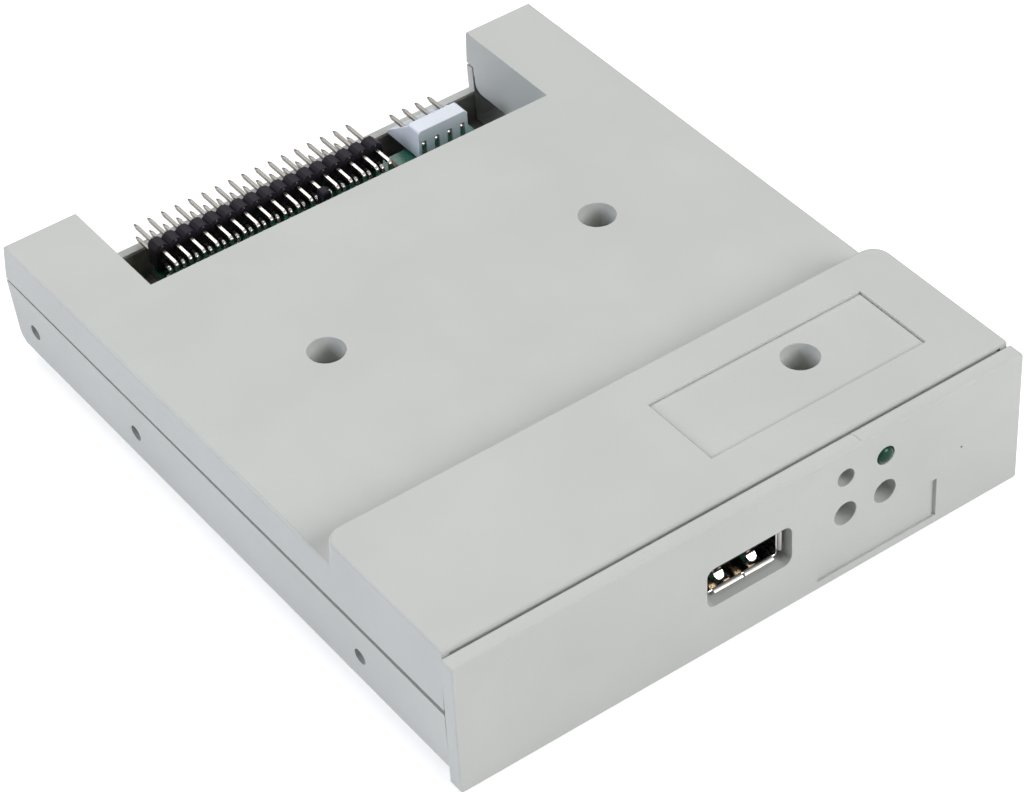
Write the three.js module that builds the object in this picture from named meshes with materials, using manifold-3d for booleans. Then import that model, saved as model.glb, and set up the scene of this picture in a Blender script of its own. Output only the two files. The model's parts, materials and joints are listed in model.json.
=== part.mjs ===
// Floppy drive emulator for a 3.5-inch bay: a moulded two-piece case with a circuit board inside.
// Millimetres. +X is right seen from the front, +Y runs to the rear, +Z is up.
// The origin lies under the middle of the part, level with the lowest edge of the bezel.

import * as THREE from 'three';
import { mergeVertices } from 'three/addons/utils/BufferGeometryUtils.js';
import Module from 'manifold-3d';

const wasm = await Module();
wasm.setup();

// Overall sizes of the case
const CASE_WIDTH = 101.6;
const CASE_DEPTH = 121;
const BLOCK_TOP_Z = 25;
const REAR_TOP_Z = 20.6;
const BLOCK_DEPTH = 32;
const BEZEL_HEIGHT = 24.2;
const BEZEL_THICKNESS = 2.6;
const BEZEL_EDGE_ROUND = 0.18;
const BEZEL_CORNER_RADIUS = 0.5;
const UNDERSIDE_Z = 1.9;
const SEAM_Z = 14.3;
const WALL_DRAFT_DEGREES = 3;
const SIDE_WALL = 1.8;
const REAR_WALL = 1.6;
const TOP_WALL = 2;
const FLOOR_WALL = 2;
const EDGE_ROUND = 0.4;
const BLOCK_CORNER_RADIUS = 3;
const TAIL_CORNER_RADIUS = 2;

// Clearances
const REAR_SEAM_GAP = 0.45;
const FRONT_SEAM_GAP = 1.05;
const BEZEL_GAP = 0.4;
const CHEEK_GAP = 0.08;
const SEAT_GAP = 0.3;
const SOLDER_GAP = 0.1;
const PIN_GAP = 0.15;
const OVERRUN = 1;
const MERGE_TOLERANCE = 0.0001;

// Notch in the rear that bares the connectors
const NOTCH_WIDTH = 75;
const NOTCH_DEPTH = 22.9;
const NOTCH_SIDE_WALL = 1.6;
const NOTCH_SIDE_CORNER_RADIUS = 2;
const SILL_ABOVE_BOARD = 0.1;

// Lip of the cover that drops inside the tray's walls
const LIP_DEPTH = 1.9;
const LIP_THICKNESS = 0.9;

// Circuit board
const BOARD_THICKNESS = 1.6;
const BOARD_TOP_Z = 9.2;
const BOARD_LEFT_X = -29.1;
const BOARD_RIGHT_X = 31.5;
const BOARD_FRONT_SETBACK = 4.9;
const BOARD_REAR_SETBACK = 7.4;
const TAIL_BELOW_BOARD = 1.2;
const TAIL_HOLE_RADIUS = 0.62;

// Screws that clamp the cover, board and tray, and the wells that they lie in
const WELL_SPREAD_X = 25.2;
const REAR_WELL_SETBACK = 52.6;
const FRONT_WELL_DEPTH = 19.5;
const WELL_RADIUS = 3;
const WELL_WALL = 1.2;
const WELL_FLOOR = 1.8;
const SCREW_SHANK_RADIUS = 1.3;
const SCREW_HEAD_RADIUS = 2.6;
const SCREW_HEAD_HEIGHT = 2;
const SCREW_HEAD_CROWN = 0.25;
const SCREW_TIP_ABOVE_UNDERSIDE = 1.1;
const DRIVE_RECESS_WIDTH = 0.7;
const DRIVE_RECESS_LENGTH = 3;
const DRIVE_RECESS_DEPTH = 1.1;
const POST_RADIUS = 3.4;

// Threaded holes in the sides for the bay's screws
const FRONT_SIDE_HOLE_DEPTH = 24.4;
const MIDDLE_SIDE_HOLE_SETBACK = 36.6;
const REAR_SIDE_HOLE_SETBACK = 6.6;
const SIDE_HOLE_ABOVE_UNDERSIDE = 5.2;
const SIDE_HOLE_RADIUS = 1.3;
const SIDE_BOSS_RADIUS = 3.5;
const SIDE_BOSS_LENGTH = 2.4;

// Label frame on the front block, and the recess low on the bezel
const LABEL_LEFT_X = 1.4;
const LABEL_RIGHT_X = 41.1;
const LABEL_FRONT_DEPTH = 10.2;
const LABEL_REAR_DEPTH = 24.9;
const LABEL_RECESS = 0.45;
const PANEL_LEFT_X = 12.4;
const PANEL_RIGHT_X = 34.9;
const PANEL_BOTTOM_Z = 1.5;
const PANEL_TOP_Z = 8.8;
const PANEL_RECESS = 0.6;

// Lamp, spare hole and push buttons on the bezel
const RIGHT_COLUMN_X = 24.9;
const LEFT_COLUMN_X = 17.5;
const LAMP_ROW_Z = 19.15;
const SPARE_HOLE_RADIUS = 1.55;
const LAMP_RADIUS = 1.5;
const LAMP_CLEARANCE = 0.12;
const LAMP_PROUD = 0.6;
const LAMP_BODY_LENGTH = 4.6;
const LAMP_FLANGE_RADIUS = 1.9;
const LAMP_FLANGE_LENGTH = 1;
const LAMP_LEAD_SIZE = 0.5;
const LAMP_LEAD_PITCH = 2.54;
const LAMP_LEAD_RUN = 8.2;
const BUTTON_RADIUS = 1.75;
const BUTTON_GAP = 0.3;
const BUTTON_SUNK = 3.7;
const BUTTON_TRAVEL = 0.25;
const BUTTON_ABOVE_BOARD = 3;
const GUIDE_LENGTH = 2;
const GUIDE_WALL = 0.8;
const SWITCH_FRONT_DEPTH = 8.6;
const SWITCH_WIDTH = 6;
const SWITCH_HEIGHT = 6;
const SWITCH_THICKNESS = 3.6;
const SWITCH_FACE = 1;
const PLUNGER_FLANGE_RADIUS = 2.3;
const PLUNGER_FLANGE_LENGTH = 0.5;

// Serial bus socket
const SOCKET_WIDTH = 13.1;
const SOCKET_HEIGHT = 5.7;
const SOCKET_LENGTH = 14;
const SOCKET_SHEET = 0.3;
const SOCKET_SETBACK = 1.4;
const SOCKET_CORNER_RADIUS = 0.6;
const SOCKET_LIP_REACH = 0.35;
const SOCKET_LIP_INSET = 1;
const SOCKET_FLOOR_LENGTH = 11;
const OPENING_WIDTH = 15.3;
const OPENING_HEIGHT = 7.35;
const OPENING_CORNER_RADIUS = 1.5;
const TONGUE_WIDTH = 11.1;
const TONGUE_THICKNESS = 1.84;
const TONGUE_BELOW_ROOF = 0.45;
const TONGUE_SETBACK = 1.2;
const INSULATOR_LENGTH = 3;
const CONTACT_PLACES_X = [-3.5, -1, 1, 3.5];
const CONTACT_WIDTH = 1;
const CONTACT_THICKNESS = 0.25;
const CONTACT_FRONT_INSET = 1;

// Right-angle header, two rows
const PITCH = 2.54;
const HEADER_COLUMNS = 17;
const HEADER_CENTRE_X = -7;
const HEADER_REAR_SETBACK = 6.35;
const HEADER_CHAMFER = 0.68;
const HEADER_FOOT = 0.09;
const PIN_SIZE = 0.58;
const PIN_TIP_SETBACK = 0.2;
const PIN_TAPER_LENGTH = 0.9;
const PIN_TIP_SHARE = 0.45;
const PIN_BEND_RADIUS = 0.7;
const PIN_REACH = 1.65;

// Power inlet with four pins
const POWER_PINS = 4;
const POWER_CENTRE_X = 24.45;
const POWER_SIDE_MARGIN = 1.07;
const POWER_BLOCK_SETBACK = 8.6;
const POWER_BLOCK_DEPTH = 3.1;
const POWER_BLOCK_HEIGHT = 5.6;
const POWER_TRAY_LENGTH = 6.3;
const POWER_TRAY_THICKNESS = 0.75;
const POWER_GUSSET_WIDTH = 0.5;
const POWER_PIN_ABOVE_BOARD = 3.15;
const POWER_PIN_REACH = 6.9;
const POWER_SLOT_WIDTH = 0.95;
const POWER_SLOT_DEPTH = 0.75;
const POWER_CHAMFER = 0.5;

// Parts soldered to the board
const CHIP_SIZE = 10;
const CHIP_THICKNESS = 1.4;
const CHIP_CENTRE_X = -2;
const CHIP_CENTRE_DEPTH = 47;
const CHIP_LEADS_PER_SIDE = 12;
const CHIP_LEAD_PITCH = 0.75;
const CHIP_LEAD_WIDTH = 0.3;
const CHIP_LEAD_THICKNESS = 0.2;
const CHIP_LEAD_REACH = 1;
const CRYSTAL_LENGTH = 11;
const CRYSTAL_WIDTH = 4.6;
const CRYSTAL_HEIGHT = 3.5;
const CRYSTAL_RIM = 0.4;
const CRYSTAL_END_FLAT = 0.1;
const CRYSTAL_CENTRE_X = -14;
const CRYSTAL_CENTRE_DEPTH = 36;
const REGULATOR_LENGTH = 6.5;
const REGULATOR_WIDTH = 3.5;
const REGULATOR_THICKNESS = 1.6;
const REGULATOR_CENTRE_X = 19;
const REGULATOR_CENTRE_SETBACK = 29;
const REGULATOR_LEAD_WIDTH = 0.7;
const REGULATOR_LEAD_PITCH = 2.3;
const REGULATOR_LEAD_REACH = 1.7;
const REGULATOR_TAB_WIDTH = 3;
const REGULATOR_LEAD_THICKNESS = 0.3;

// Facets round a full circle
const WELL_FACETS = 32;
const HOLE_FACETS = 20;
const TAIL_HOLE_FACETS = 8;
const ARC_FACETS = 6;

// Worked-out places
const HALF_WIDTH = CASE_WIDTH / 2;
const FRONT_Y = (LAMP_PROUD - CASE_DEPTH) / 2;
const REAR_Y = FRONT_Y + CASE_DEPTH;
const BEZEL_BACK_Y = FRONT_Y + BEZEL_THICKNESS;
const NOTCH_FRONT_Y = REAR_Y - NOTCH_DEPTH;
const NOTCH_HALF = NOTCH_WIDTH / 2;
const DRAFT_SLOPE = Math.tan(THREE.MathUtils.degToRad(WALL_DRAFT_DEGREES));
const COVER_FRONT_Y = BEZEL_BACK_Y + BEZEL_GAP;
const RIM_REAR_Z = SEAM_Z - REAR_SEAM_GAP;
const RIM_FRONT_Z = SEAM_Z - FRONT_SEAM_GAP;
const FLOOR_TOP_Z = UNDERSIDE_Z + FLOOR_WALL;
const BOARD_BOTTOM_Z = BOARD_TOP_Z - BOARD_THICKNESS;
const TAIL_END_Z = BOARD_BOTTOM_Z - TAIL_BELOW_BOARD;
const SILL_Z = BOARD_TOP_Z + SILL_ABOVE_BOARD;
const POST_TOP_Z = BOARD_BOTTOM_Z - SEAT_GAP;
const WELL_TUBE_BOTTOM_Z = BOARD_TOP_Z + SEAT_GAP;
const WELL_FLOOR_TOP_Z = WELL_TUBE_BOTTOM_Z + WELL_FLOOR;
const SCREW_HOLE_RADIUS = SCREW_SHANK_RADIUS + SEAT_GAP;
const SIDE_HOLE_Z = UNDERSIDE_Z + SIDE_HOLE_ABOVE_UNDERSIDE;
const SIDE_HOLE_PLACES_Y = [
  FRONT_Y + FRONT_SIDE_HOLE_DEPTH, REAR_Y - MIDDLE_SIDE_HOLE_SETBACK, REAR_Y - REAR_SIDE_HOLE_SETBACK,
];
const BUTTON_Z = BOARD_TOP_Z + BUTTON_ABOVE_BOARD;
const BUTTON_BORE_RADIUS = BUTTON_RADIUS + BUTTON_GAP;
const SOCKET_BOTTOM_Z = BOARD_TOP_Z + SOLDER_GAP;
const SOCKET_CENTRE_Z = SOCKET_BOTTOM_Z + SOCKET_HEIGHT / 2;
const SOCKET_FRONT_Y = FRONT_Y + SOCKET_SETBACK;
const SOCKET_BACK_Y = SOCKET_FRONT_Y + SOCKET_LENGTH;
const TONGUE_TOP_Z = SOCKET_BOTTOM_Z + SOCKET_HEIGHT - SOCKET_SHEET - TONGUE_BELOW_ROOF;
const TONGUE_BOTTOM_Z = TONGUE_TOP_Z - TONGUE_THICKNESS;
const HEADER_BOTTOM_Z = BOARD_TOP_Z + HEADER_FOOT;
const HEADER_REAR_Y = REAR_Y - HEADER_REAR_SETBACK;
const HEADER_FRONT_Y = HEADER_REAR_Y - PITCH;
const LOWER_ROW_Z = HEADER_BOTTOM_Z + PITCH / 2;
const UPPER_ROW_Z = LOWER_ROW_Z + PITCH;
const POWER_FRONT_Y = REAR_Y - POWER_BLOCK_SETBACK - POWER_BLOCK_DEPTH;
const POWER_REAR_Y = POWER_FRONT_Y + POWER_BLOCK_DEPTH;
const POWER_BOTTOM_Z = BOARD_TOP_Z + SEAT_GAP;
const POWER_PIN_Z = BOARD_TOP_Z + POWER_PIN_ABOVE_BOARD;
const POWER_HALF = (POWER_PINS - 1) * PITCH / 2 + POWER_SIDE_MARGIN;

// Screw places, as [x, y, top of the case there]
const SCREW_PLACES = [
  [-WELL_SPREAD_X, REAR_Y - REAR_WELL_SETBACK, REAR_TOP_Z],
  [WELL_SPREAD_X, REAR_Y - REAR_WELL_SETBACK, REAR_TOP_Z],
  [WELL_SPREAD_X, FRONT_Y + FRONT_WELL_DEPTH, BLOCK_TOP_Z],
];

// Finishes
const FINISH = {
  casePlastic: new THREE.MeshStandardMaterial({ color: 0xc9ccc8, roughness: 0.55, metalness: 0 }),
  board: new THREE.MeshStandardMaterial({ color: 0x1f6f5c, roughness: 0.4, metalness: 0 }),
  blackPlastic: new THREE.MeshStandardMaterial({ color: 0x2b2830, roughness: 0.5, metalness: 0 }),
  whiteNylon: new THREE.MeshStandardMaterial({ color: 0xe1e4ef, roughness: 0.45, metalness: 0 }),
  tinnedPin: new THREE.MeshStandardMaterial({ color: 0xcfc8ba, roughness: 0.28, metalness: 1 }),
  brightSteel: new THREE.MeshStandardMaterial({ color: 0xd4d6d8, roughness: 0.25, metalness: 1 }),
  goldContact: new THREE.MeshStandardMaterial({ color: 0xd2a558, roughness: 0.3, metalness: 1 }),
  greenLens: new THREE.MeshStandardMaterial({ color: 0x145a41, roughness: 0.12, metalness: 0 }),
};

// Solids from closed geometries, and back again
function solidOf(geometry) {
  const bare = new THREE.BufferGeometry();
  bare.setAttribute('position', geometry.getAttribute('position').clone());
  if (geometry.index) bare.setIndex(geometry.index.clone());
  const merged = mergeVertices(bare, MERGE_TOLERANCE);
  return new wasm.Manifold(new wasm.Mesh({
    numProp: 3,
    vertProperties: new Float32Array(merged.getAttribute('position').array),
    triVerts: new Uint32Array(merged.index.array),
  }));
}

function geometryOf(solid) {
  const mesh = solid.getMesh();
  const geometry = new THREE.BufferGeometry();
  geometry.setAttribute('position', new THREE.BufferAttribute(mesh.vertProperties, 3));
  geometry.setIndex(new THREE.BufferAttribute(mesh.triVerts, 1));
  geometry.computeVertexNormals();
  return geometry;
}

function join(first, ...rest) {
  return rest.reduce((sum, solid) => sum.add(solid), first);
}

function cut(body, ...tools) {
  return tools.reduce((left, tool) => left.subtract(tool), body);
}

// Simple solids between named places
function slab(low, high) {
  const size = high.map((value, axis) => value - low[axis]);
  const centre = high.map((value, axis) => (value + low[axis]) / 2);
  return solidOf(new THREE.BoxGeometry(...size).translate(...centre));
}

function rodAlongZ(x, y, radius, lowZ, highZ, facets) {
  const rod = new THREE.CylinderGeometry(radius, radius, highZ - lowZ, facets);
  return solidOf(rod.rotateX(Math.PI / 2).translate(x, y, (lowZ + highZ) / 2));
}

function rodAlongY(x, z, radius, lowY, highY, facets) {
  const rod = new THREE.CylinderGeometry(radius, radius, highY - lowY, facets);
  return solidOf(rod.translate(x, (lowY + highY) / 2, z));
}

function rodAlongX(y, z, radius, lowX, highX, facets) {
  const rod = new THREE.CylinderGeometry(radius, radius, highX - lowX, facets);
  return solidOf(rod.rotateZ(Math.PI / 2).translate((lowX + highX) / 2, y, z));
}

// The case is widest at the seam: its sides and rear lean inwards upwards (1) or downwards (-1)
function leanWalls(solid, direction) {
  return solid.warp((point) => {
    const lean = (point[2] - SEAM_Z) * direction * DRAFT_SLOPE;
    point[0] -= Math.sign(point[0]) * lean;
    if (point[1] > 0) point[1] -= lean;
  });
}

// Outlines and the prisms made from them
function roundedOutline(left, right, bottom, top, radius) {
  const shape = new THREE.Shape();
  shape.absarc(right - radius, bottom + radius, radius, -Math.PI / 2, 0, false);
  shape.absarc(right - radius, top - radius, radius, 0, Math.PI / 2, false);
  shape.absarc(left + radius, top - radius, radius, Math.PI / 2, Math.PI, false);
  shape.absarc(left + radius, bottom + radius, radius, Math.PI, Math.PI * 3 / 2, false);
  shape.closePath();
  return shape;
}

function outlineOf(points) {
  return new THREE.Shape(points.map(([u, v]) => new THREE.Vector2(u, v)));
}

// A prism standing on an XY outline; an edge above zero rounds its top and bottom rims inwards
function prismAlongZ(shape, lowZ, highZ, edge = 0) {
  const geometry = new THREE.ExtrudeGeometry(shape, {
    depth: highZ - lowZ - edge * 2,
    curveSegments: ARC_FACETS,
    bevelEnabled: edge > 0,
    bevelThickness: edge,
    bevelSize: edge,
    bevelOffset: -edge,
    bevelSegments: 2,
  });
  return solidOf(geometry.translate(0, 0, lowZ + edge));
}

// A prism whose outline is drawn in X and Z
function prismAlongY(shape, lowY, highY, edge = 0) {
  const geometry = new THREE.ExtrudeGeometry(shape, {
    depth: highY - lowY - edge * 2,
    curveSegments: ARC_FACETS,
    bevelEnabled: edge > 0,
    bevelThickness: edge,
    bevelSize: edge,
    bevelOffset: -edge,
    bevelSegments: 2,
  });
  return solidOf(geometry.translate(0, 0, edge).rotateX(Math.PI / 2).translate(0, highY, 0));
}

// A prism whose outline is drawn in Y and Z
function prismAlongX(shape, lowX, highX) {
  const geometry = new THREE.ExtrudeGeometry(shape, {
    depth: highX - lowX,
    curveSegments: ARC_FACETS,
    bevelEnabled: false,
  });
  const toSide = new THREE.Matrix4().set(0, 0, 1, 0, 1, 0, 0, 0, 0, 1, 0, 0, 0, 0, 0, 1);
  return solidOf(geometry.applyMatrix4(toSide).translate(lowX, 0, 0));
}

// A square bar along [y, z] points at one x, each ring scaled by its share
function sweptBar(x, path, size, shares) {
  const corners = [[-1, -1], [1, -1], [1, 1], [-1, 1]];
  const positions = [];
  const indices = [];
  const points = path.map(([y, z]) => new THREE.Vector2(y, z));
  points.forEach((point, ring) => {
    const before = points[Math.max(ring - 1, 0)];
    const after = points[Math.min(ring + 1, points.length - 1)];
    const along = after.clone().sub(before).normalize();
    const half = size / 2 * shares[ring];
    corners.forEach(([side, lift]) => {
      const y = point.x - along.y * lift * half;
      const z = point.y + along.x * lift * half;
      positions.push(x + side * half, y, z);
    });
  });
  const count = corners.length;
  for (let ring = 0; ring < points.length - 1; ring += 1) {
    for (let corner = 0; corner < count; corner += 1) {
      const a = ring * count + corner;
      const b = ring * count + (corner + 1) % count;
      indices.push(a, b + count, b, a, a + count, b + count);
    }
  }
  const last = (points.length - 1) * count;
  indices.push(0, 1, 2, 0, 2, 3);
  indices.push(last, last + 2, last + 1, last, last + 3, last + 2);
  const geometry = new THREE.BufferGeometry();
  geometry.setAttribute('position', new THREE.Float32BufferAttribute(positions, 3));
  geometry.setIndex(indices);
  return solidOf(geometry);
}

// The tray: floor, side walls, rear wall and bezel in one moulding
function trayProfile(wall, lowZ, rimLift, frontY, radius) {
  const rear = REAR_Y - wall;
  const shape = new THREE.Shape();
  shape.moveTo(frontY, lowZ);
  shape.lineTo(rear - radius, lowZ);
  shape.absarc(rear - radius, lowZ + radius, radius, -Math.PI / 2, 0, false);
  shape.lineTo(rear, RIM_REAR_Z + rimLift);
  shape.lineTo(frontY, RIM_FRONT_Z + rimLift);
  shape.closePath();
  return shape;
}

function bezelPlate() {
  const face = roundedOutline(-HALF_WIDTH, HALF_WIDTH, 0, BEZEL_HEIGHT, BEZEL_CORNER_RADIUS);
  const plate = prismAlongY(face, FRONT_Y, BEZEL_BACK_Y + BEZEL_EDGE_ROUND, BEZEL_EDGE_ROUND);
  const excess = slab(
    [-HALF_WIDTH - OVERRUN, BEZEL_BACK_Y, -OVERRUN],
    [HALF_WIDTH + OVERRUN, BEZEL_BACK_Y + BEZEL_EDGE_ROUND + OVERRUN, BEZEL_HEIGHT + OVERRUN],
  );
  return cut(plate, excess);
}

function buttonGuides() {
  return [LEFT_COLUMN_X, RIGHT_COLUMN_X].map((x) => rodAlongY(
    x, BUTTON_Z, BUTTON_BORE_RADIUS + GUIDE_WALL,
    BEZEL_BACK_Y - EDGE_ROUND, BEZEL_BACK_Y + GUIDE_LENGTH, HOLE_FACETS,
  ));
}

function bezelOpenings() {
  const frontY = FRONT_Y - OVERRUN;
  const backY = BEZEL_BACK_Y + GUIDE_LENGTH + OVERRUN;
  const opening = roundedOutline(
    -OPENING_WIDTH / 2, OPENING_WIDTH / 2,
    SOCKET_CENTRE_Z - OPENING_HEIGHT / 2, SOCKET_CENTRE_Z + OPENING_HEIGHT / 2,
    OPENING_CORNER_RADIUS,
  );
  const lampHole = LAMP_RADIUS + LAMP_CLEARANCE;
  return [
    prismAlongY(opening, frontY, backY),
    rodAlongY(RIGHT_COLUMN_X, LAMP_ROW_Z, lampHole, frontY, backY, HOLE_FACETS),
    rodAlongY(LEFT_COLUMN_X, LAMP_ROW_Z, SPARE_HOLE_RADIUS, frontY, backY, HOLE_FACETS),
    rodAlongY(LEFT_COLUMN_X, BUTTON_Z, BUTTON_BORE_RADIUS, frontY, backY, HOLE_FACETS),
    rodAlongY(RIGHT_COLUMN_X, BUTTON_Z, BUTTON_BORE_RADIUS, frontY, backY, HOLE_FACETS),
    slab([PANEL_LEFT_X, frontY, PANEL_BOTTOM_Z], [PANEL_RIGHT_X, FRONT_Y + PANEL_RECESS, PANEL_TOP_Z]),
  ];
}

function screwPost([x, y]) {
  return rodAlongZ(x, y, POST_RADIUS, FLOOR_TOP_Z - OVERRUN, POST_TOP_Z, HOLE_FACETS);
}

function screwBore([x, y]) {
  const bottomZ = UNDERSIDE_Z + SCREW_TIP_ABOVE_UNDERSIDE - SEAT_GAP;
  return rodAlongZ(x, y, SCREW_HOLE_RADIUS, bottomZ, POST_TOP_Z + OVERRUN, HOLE_FACETS);
}

function sideBosses() {
  const inner = HALF_WIDTH - SIDE_WALL;
  return SIDE_HOLE_PLACES_Y.flatMap((y) => [-1, 1].map((side) => {
    const reach = [side * (inner - SIDE_BOSS_LENGTH), side * (inner + SIDE_WALL / 2)];
    return rodAlongX(y, SIDE_HOLE_Z, SIDE_BOSS_RADIUS,
      Math.min(...reach), Math.max(...reach), HOLE_FACETS);
  }));
}

function sideHoles() {
  const inner = HALF_WIDTH - SIDE_WALL - SIDE_BOSS_LENGTH - OVERRUN;
  const outer = HALF_WIDTH + OVERRUN;
  return SIDE_HOLE_PLACES_Y.flatMap((y) => [-1, 1].map((side) => {
    const reach = [side * inner, side * outer];
    return rodAlongX(y, SIDE_HOLE_Z, SIDE_HOLE_RADIUS,
      Math.min(...reach), Math.max(...reach), HOLE_FACETS);
  }));
}

function boardRib(y, halfLength) {
  return slab([-halfLength, y - FLOOR_WALL / 2, FLOOR_TOP_Z - EDGE_ROUND],
    [halfLength, y + FLOOR_WALL / 2, POST_TOP_Z]);
}

function bottomCase() {
  const outer = prismAlongX(
    trayProfile(0, UNDERSIDE_Z, 0, BEZEL_BACK_Y - EDGE_ROUND, TAIL_CORNER_RADIUS),
    -HALF_WIDTH, HALF_WIDTH,
  );
  const inner = prismAlongX(
    trayProfile(REAR_WALL, FLOOR_TOP_Z, OVERRUN, BEZEL_BACK_Y, TAIL_CORNER_RADIUS - REAR_WALL),
    -HALF_WIDTH + SIDE_WALL, HALF_WIDTH - SIDE_WALL,
  );
  const sill = slab(
    [-NOTCH_HALF, REAR_Y - REAR_WALL - OVERRUN, SILL_Z],
    [NOTCH_HALF, REAR_Y + OVERRUN, SEAM_Z + OVERRUN],
  );
  const headerRibY = HEADER_FRONT_Y - PIN_REACH - PITCH * 2 - FLOOR_WALL;
  const shell = join(
    cut(leanWalls(cut(outer, inner), -1), sill),
    bezelPlate(),
    ...buttonGuides(),
    ...SCREW_PLACES.map(screwPost),
    screwPost([-WELL_SPREAD_X, FRONT_Y + FRONT_WELL_DEPTH]),
    boardRib(headerRibY, NOTCH_HALF / 2),
    ...sideBosses(),
  );
  return cut(shell, ...bezelOpenings(), ...SCREW_PLACES.map(screwBore), ...sideHoles());
}

// The cover: a stepped lid with a notch, three screw wells and a lip inside the tray
function blockOutline(inset) {
  const right = HALF_WIDTH - inset;
  const rear = FRONT_Y + BLOCK_DEPTH - inset;
  const radius = BLOCK_CORNER_RADIUS - inset;
  const shape = new THREE.Shape();
  shape.moveTo(-right, COVER_FRONT_Y - inset);
  shape.lineTo(right, COVER_FRONT_Y - inset);
  shape.absarc(right - radius, rear - radius, radius, 0, Math.PI / 2, false);
  shape.absarc(-right + radius, rear - radius, radius, Math.PI / 2, Math.PI, false);
  shape.closePath();
  return shape;
}

function rearOutline(inset, rearInset, frontY) {
  const side = HALF_WIDTH - inset;
  return outlineOf([
    [-side, frontY], [side, frontY], [side, REAR_Y - rearInset], [-side, REAR_Y - rearInset],
  ]);
}

// The ends of the side walls, which reach nearly to the bezel and close the gap there
function coverCheeks(startZ) {
  return [-1, 1].map((side) => {
    const reach = [side * (HALF_WIDTH - SIDE_WALL), side * HALF_WIDTH];
    const left = Math.min(...reach);
    const right = Math.max(...reach);
    const frontY = BEZEL_BACK_Y + CHEEK_GAP;
    const backY = COVER_FRONT_Y + SIDE_WALL;
    const outline = outlineOf([[left, frontY], [right, frontY], [right, backY], [left, backY]]);
    return prismAlongZ(outline, startZ, BEZEL_HEIGHT - EDGE_ROUND);
  });
}

function coverSkin() {
  const startZ = SEAM_Z - EDGE_ROUND * 2;
  const outer = join(
    prismAlongZ(rearOutline(0, 0, COVER_FRONT_Y), startZ, REAR_TOP_Z, EDGE_ROUND),
    prismAlongZ(blockOutline(0), startZ, BLOCK_TOP_Z, EDGE_ROUND),
    ...coverCheeks(startZ),
  );
  const lowZ = startZ - OVERRUN;
  const inner = join(
    prismAlongZ(rearOutline(SIDE_WALL, REAR_WALL, COVER_FRONT_Y - OVERRUN), lowZ, REAR_TOP_Z - TOP_WALL),
    prismAlongZ(blockOutline(SIDE_WALL), lowZ, BLOCK_TOP_Z - TOP_WALL),
  );
  const below = slab(
    [-HALF_WIDTH - OVERRUN, COVER_FRONT_Y - OVERRUN, lowZ],
    [HALF_WIDTH + OVERRUN, REAR_Y + OVERRUN, SEAM_Z],
  );
  return leanWalls(cut(outer, inner, below), 1);
}

function coverLip() {
  const lowZ = SEAM_Z - LIP_DEPTH;
  const highZ = SEAM_Z + LIP_THICKNESS;
  const lipInset = SIDE_WALL + SEAT_GAP;
  const rearInset = REAR_WALL + SEAT_GAP;
  const ring = cut(
    prismAlongZ(rearOutline(SIDE_WALL - EDGE_ROUND, REAR_WALL - EDGE_ROUND, COVER_FRONT_Y), lowZ, highZ),
    prismAlongZ(
      rearOutline(lipInset + LIP_THICKNESS, rearInset + LIP_THICKNESS, COVER_FRONT_Y - OVERRUN),
      lowZ - OVERRUN, highZ + OVERRUN,
    ),
  );
  const relief = cut(
    prismAlongZ(rearOutline(-OVERRUN, -OVERRUN, COVER_FRONT_Y - OVERRUN), lowZ - OVERRUN, SEAM_Z),
    prismAlongZ(
      rearOutline(lipInset, rearInset, COVER_FRONT_Y - OVERRUN * 2),
      lowZ - OVERRUN * 2, SEAM_Z + OVERRUN,
    ),
  );
  return cut(ring, relief);
}

function notchSideWall(side) {
  const frontY = NOTCH_FRONT_Y;
  const rearY = REAR_Y - REAR_WALL - SEAT_GAP - (SEAM_Z - SILL_Z) * DRAFT_SLOPE;
  const lowZ = SILL_Z + SEAT_GAP;
  const shape = new THREE.Shape();
  shape.moveTo(frontY, lowZ);
  shape.lineTo(rearY - NOTCH_SIDE_CORNER_RADIUS, lowZ);
  shape.absarc(rearY - NOTCH_SIDE_CORNER_RADIUS, lowZ + NOTCH_SIDE_CORNER_RADIUS,
    NOTCH_SIDE_CORNER_RADIUS, -Math.PI / 2, 0, false);
  shape.lineTo(rearY, SEAM_Z);
  shape.lineTo(REAR_Y - REAR_WALL / 2, SEAM_Z);
  shape.lineTo(REAR_Y - REAR_WALL / 2, REAR_TOP_Z - EDGE_ROUND);
  shape.lineTo(frontY, REAR_TOP_Z - EDGE_ROUND);
  shape.closePath();
  const reach = [side * NOTCH_HALF, side * (NOTCH_HALF + NOTCH_SIDE_WALL)];
  return prismAlongX(shape, Math.min(...reach), Math.max(...reach));
}

function wellTube([x, y, topZ]) {
  return rodAlongZ(x, y, WELL_RADIUS + WELL_WALL, WELL_TUBE_BOTTOM_Z, topZ - TOP_WALL / 2, WELL_FACETS);
}

function wellCuts([x, y, topZ]) {
  return [
    rodAlongZ(x, y, WELL_RADIUS, WELL_FLOOR_TOP_Z, topZ + OVERRUN, WELL_FACETS),
    rodAlongZ(x, y, SCREW_HOLE_RADIUS, WELL_TUBE_BOTTOM_Z - OVERRUN, topZ, HOLE_FACETS),
  ];
}

function topCover() {
  const notch = slab(
    [-NOTCH_HALF, NOTCH_FRONT_Y, UNDERSIDE_Z],
    [NOTCH_HALF, REAR_Y + OVERRUN, BLOCK_TOP_Z],
  );
  const label = slab(
    [LABEL_LEFT_X, FRONT_Y + LABEL_FRONT_DEPTH, BLOCK_TOP_Z - LABEL_RECESS],
    [LABEL_RIGHT_X, FRONT_Y + LABEL_REAR_DEPTH, BLOCK_TOP_Z + OVERRUN],
  );
  const lid = cut(join(coverSkin(), coverLip()), notch);
  const body = join(lid, notchSideWall(-1), notchSideWall(1), ...SCREW_PLACES.map(wellTube));
  return cut(body, label, ...SCREW_PLACES.flatMap(wellCuts));
}

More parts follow.
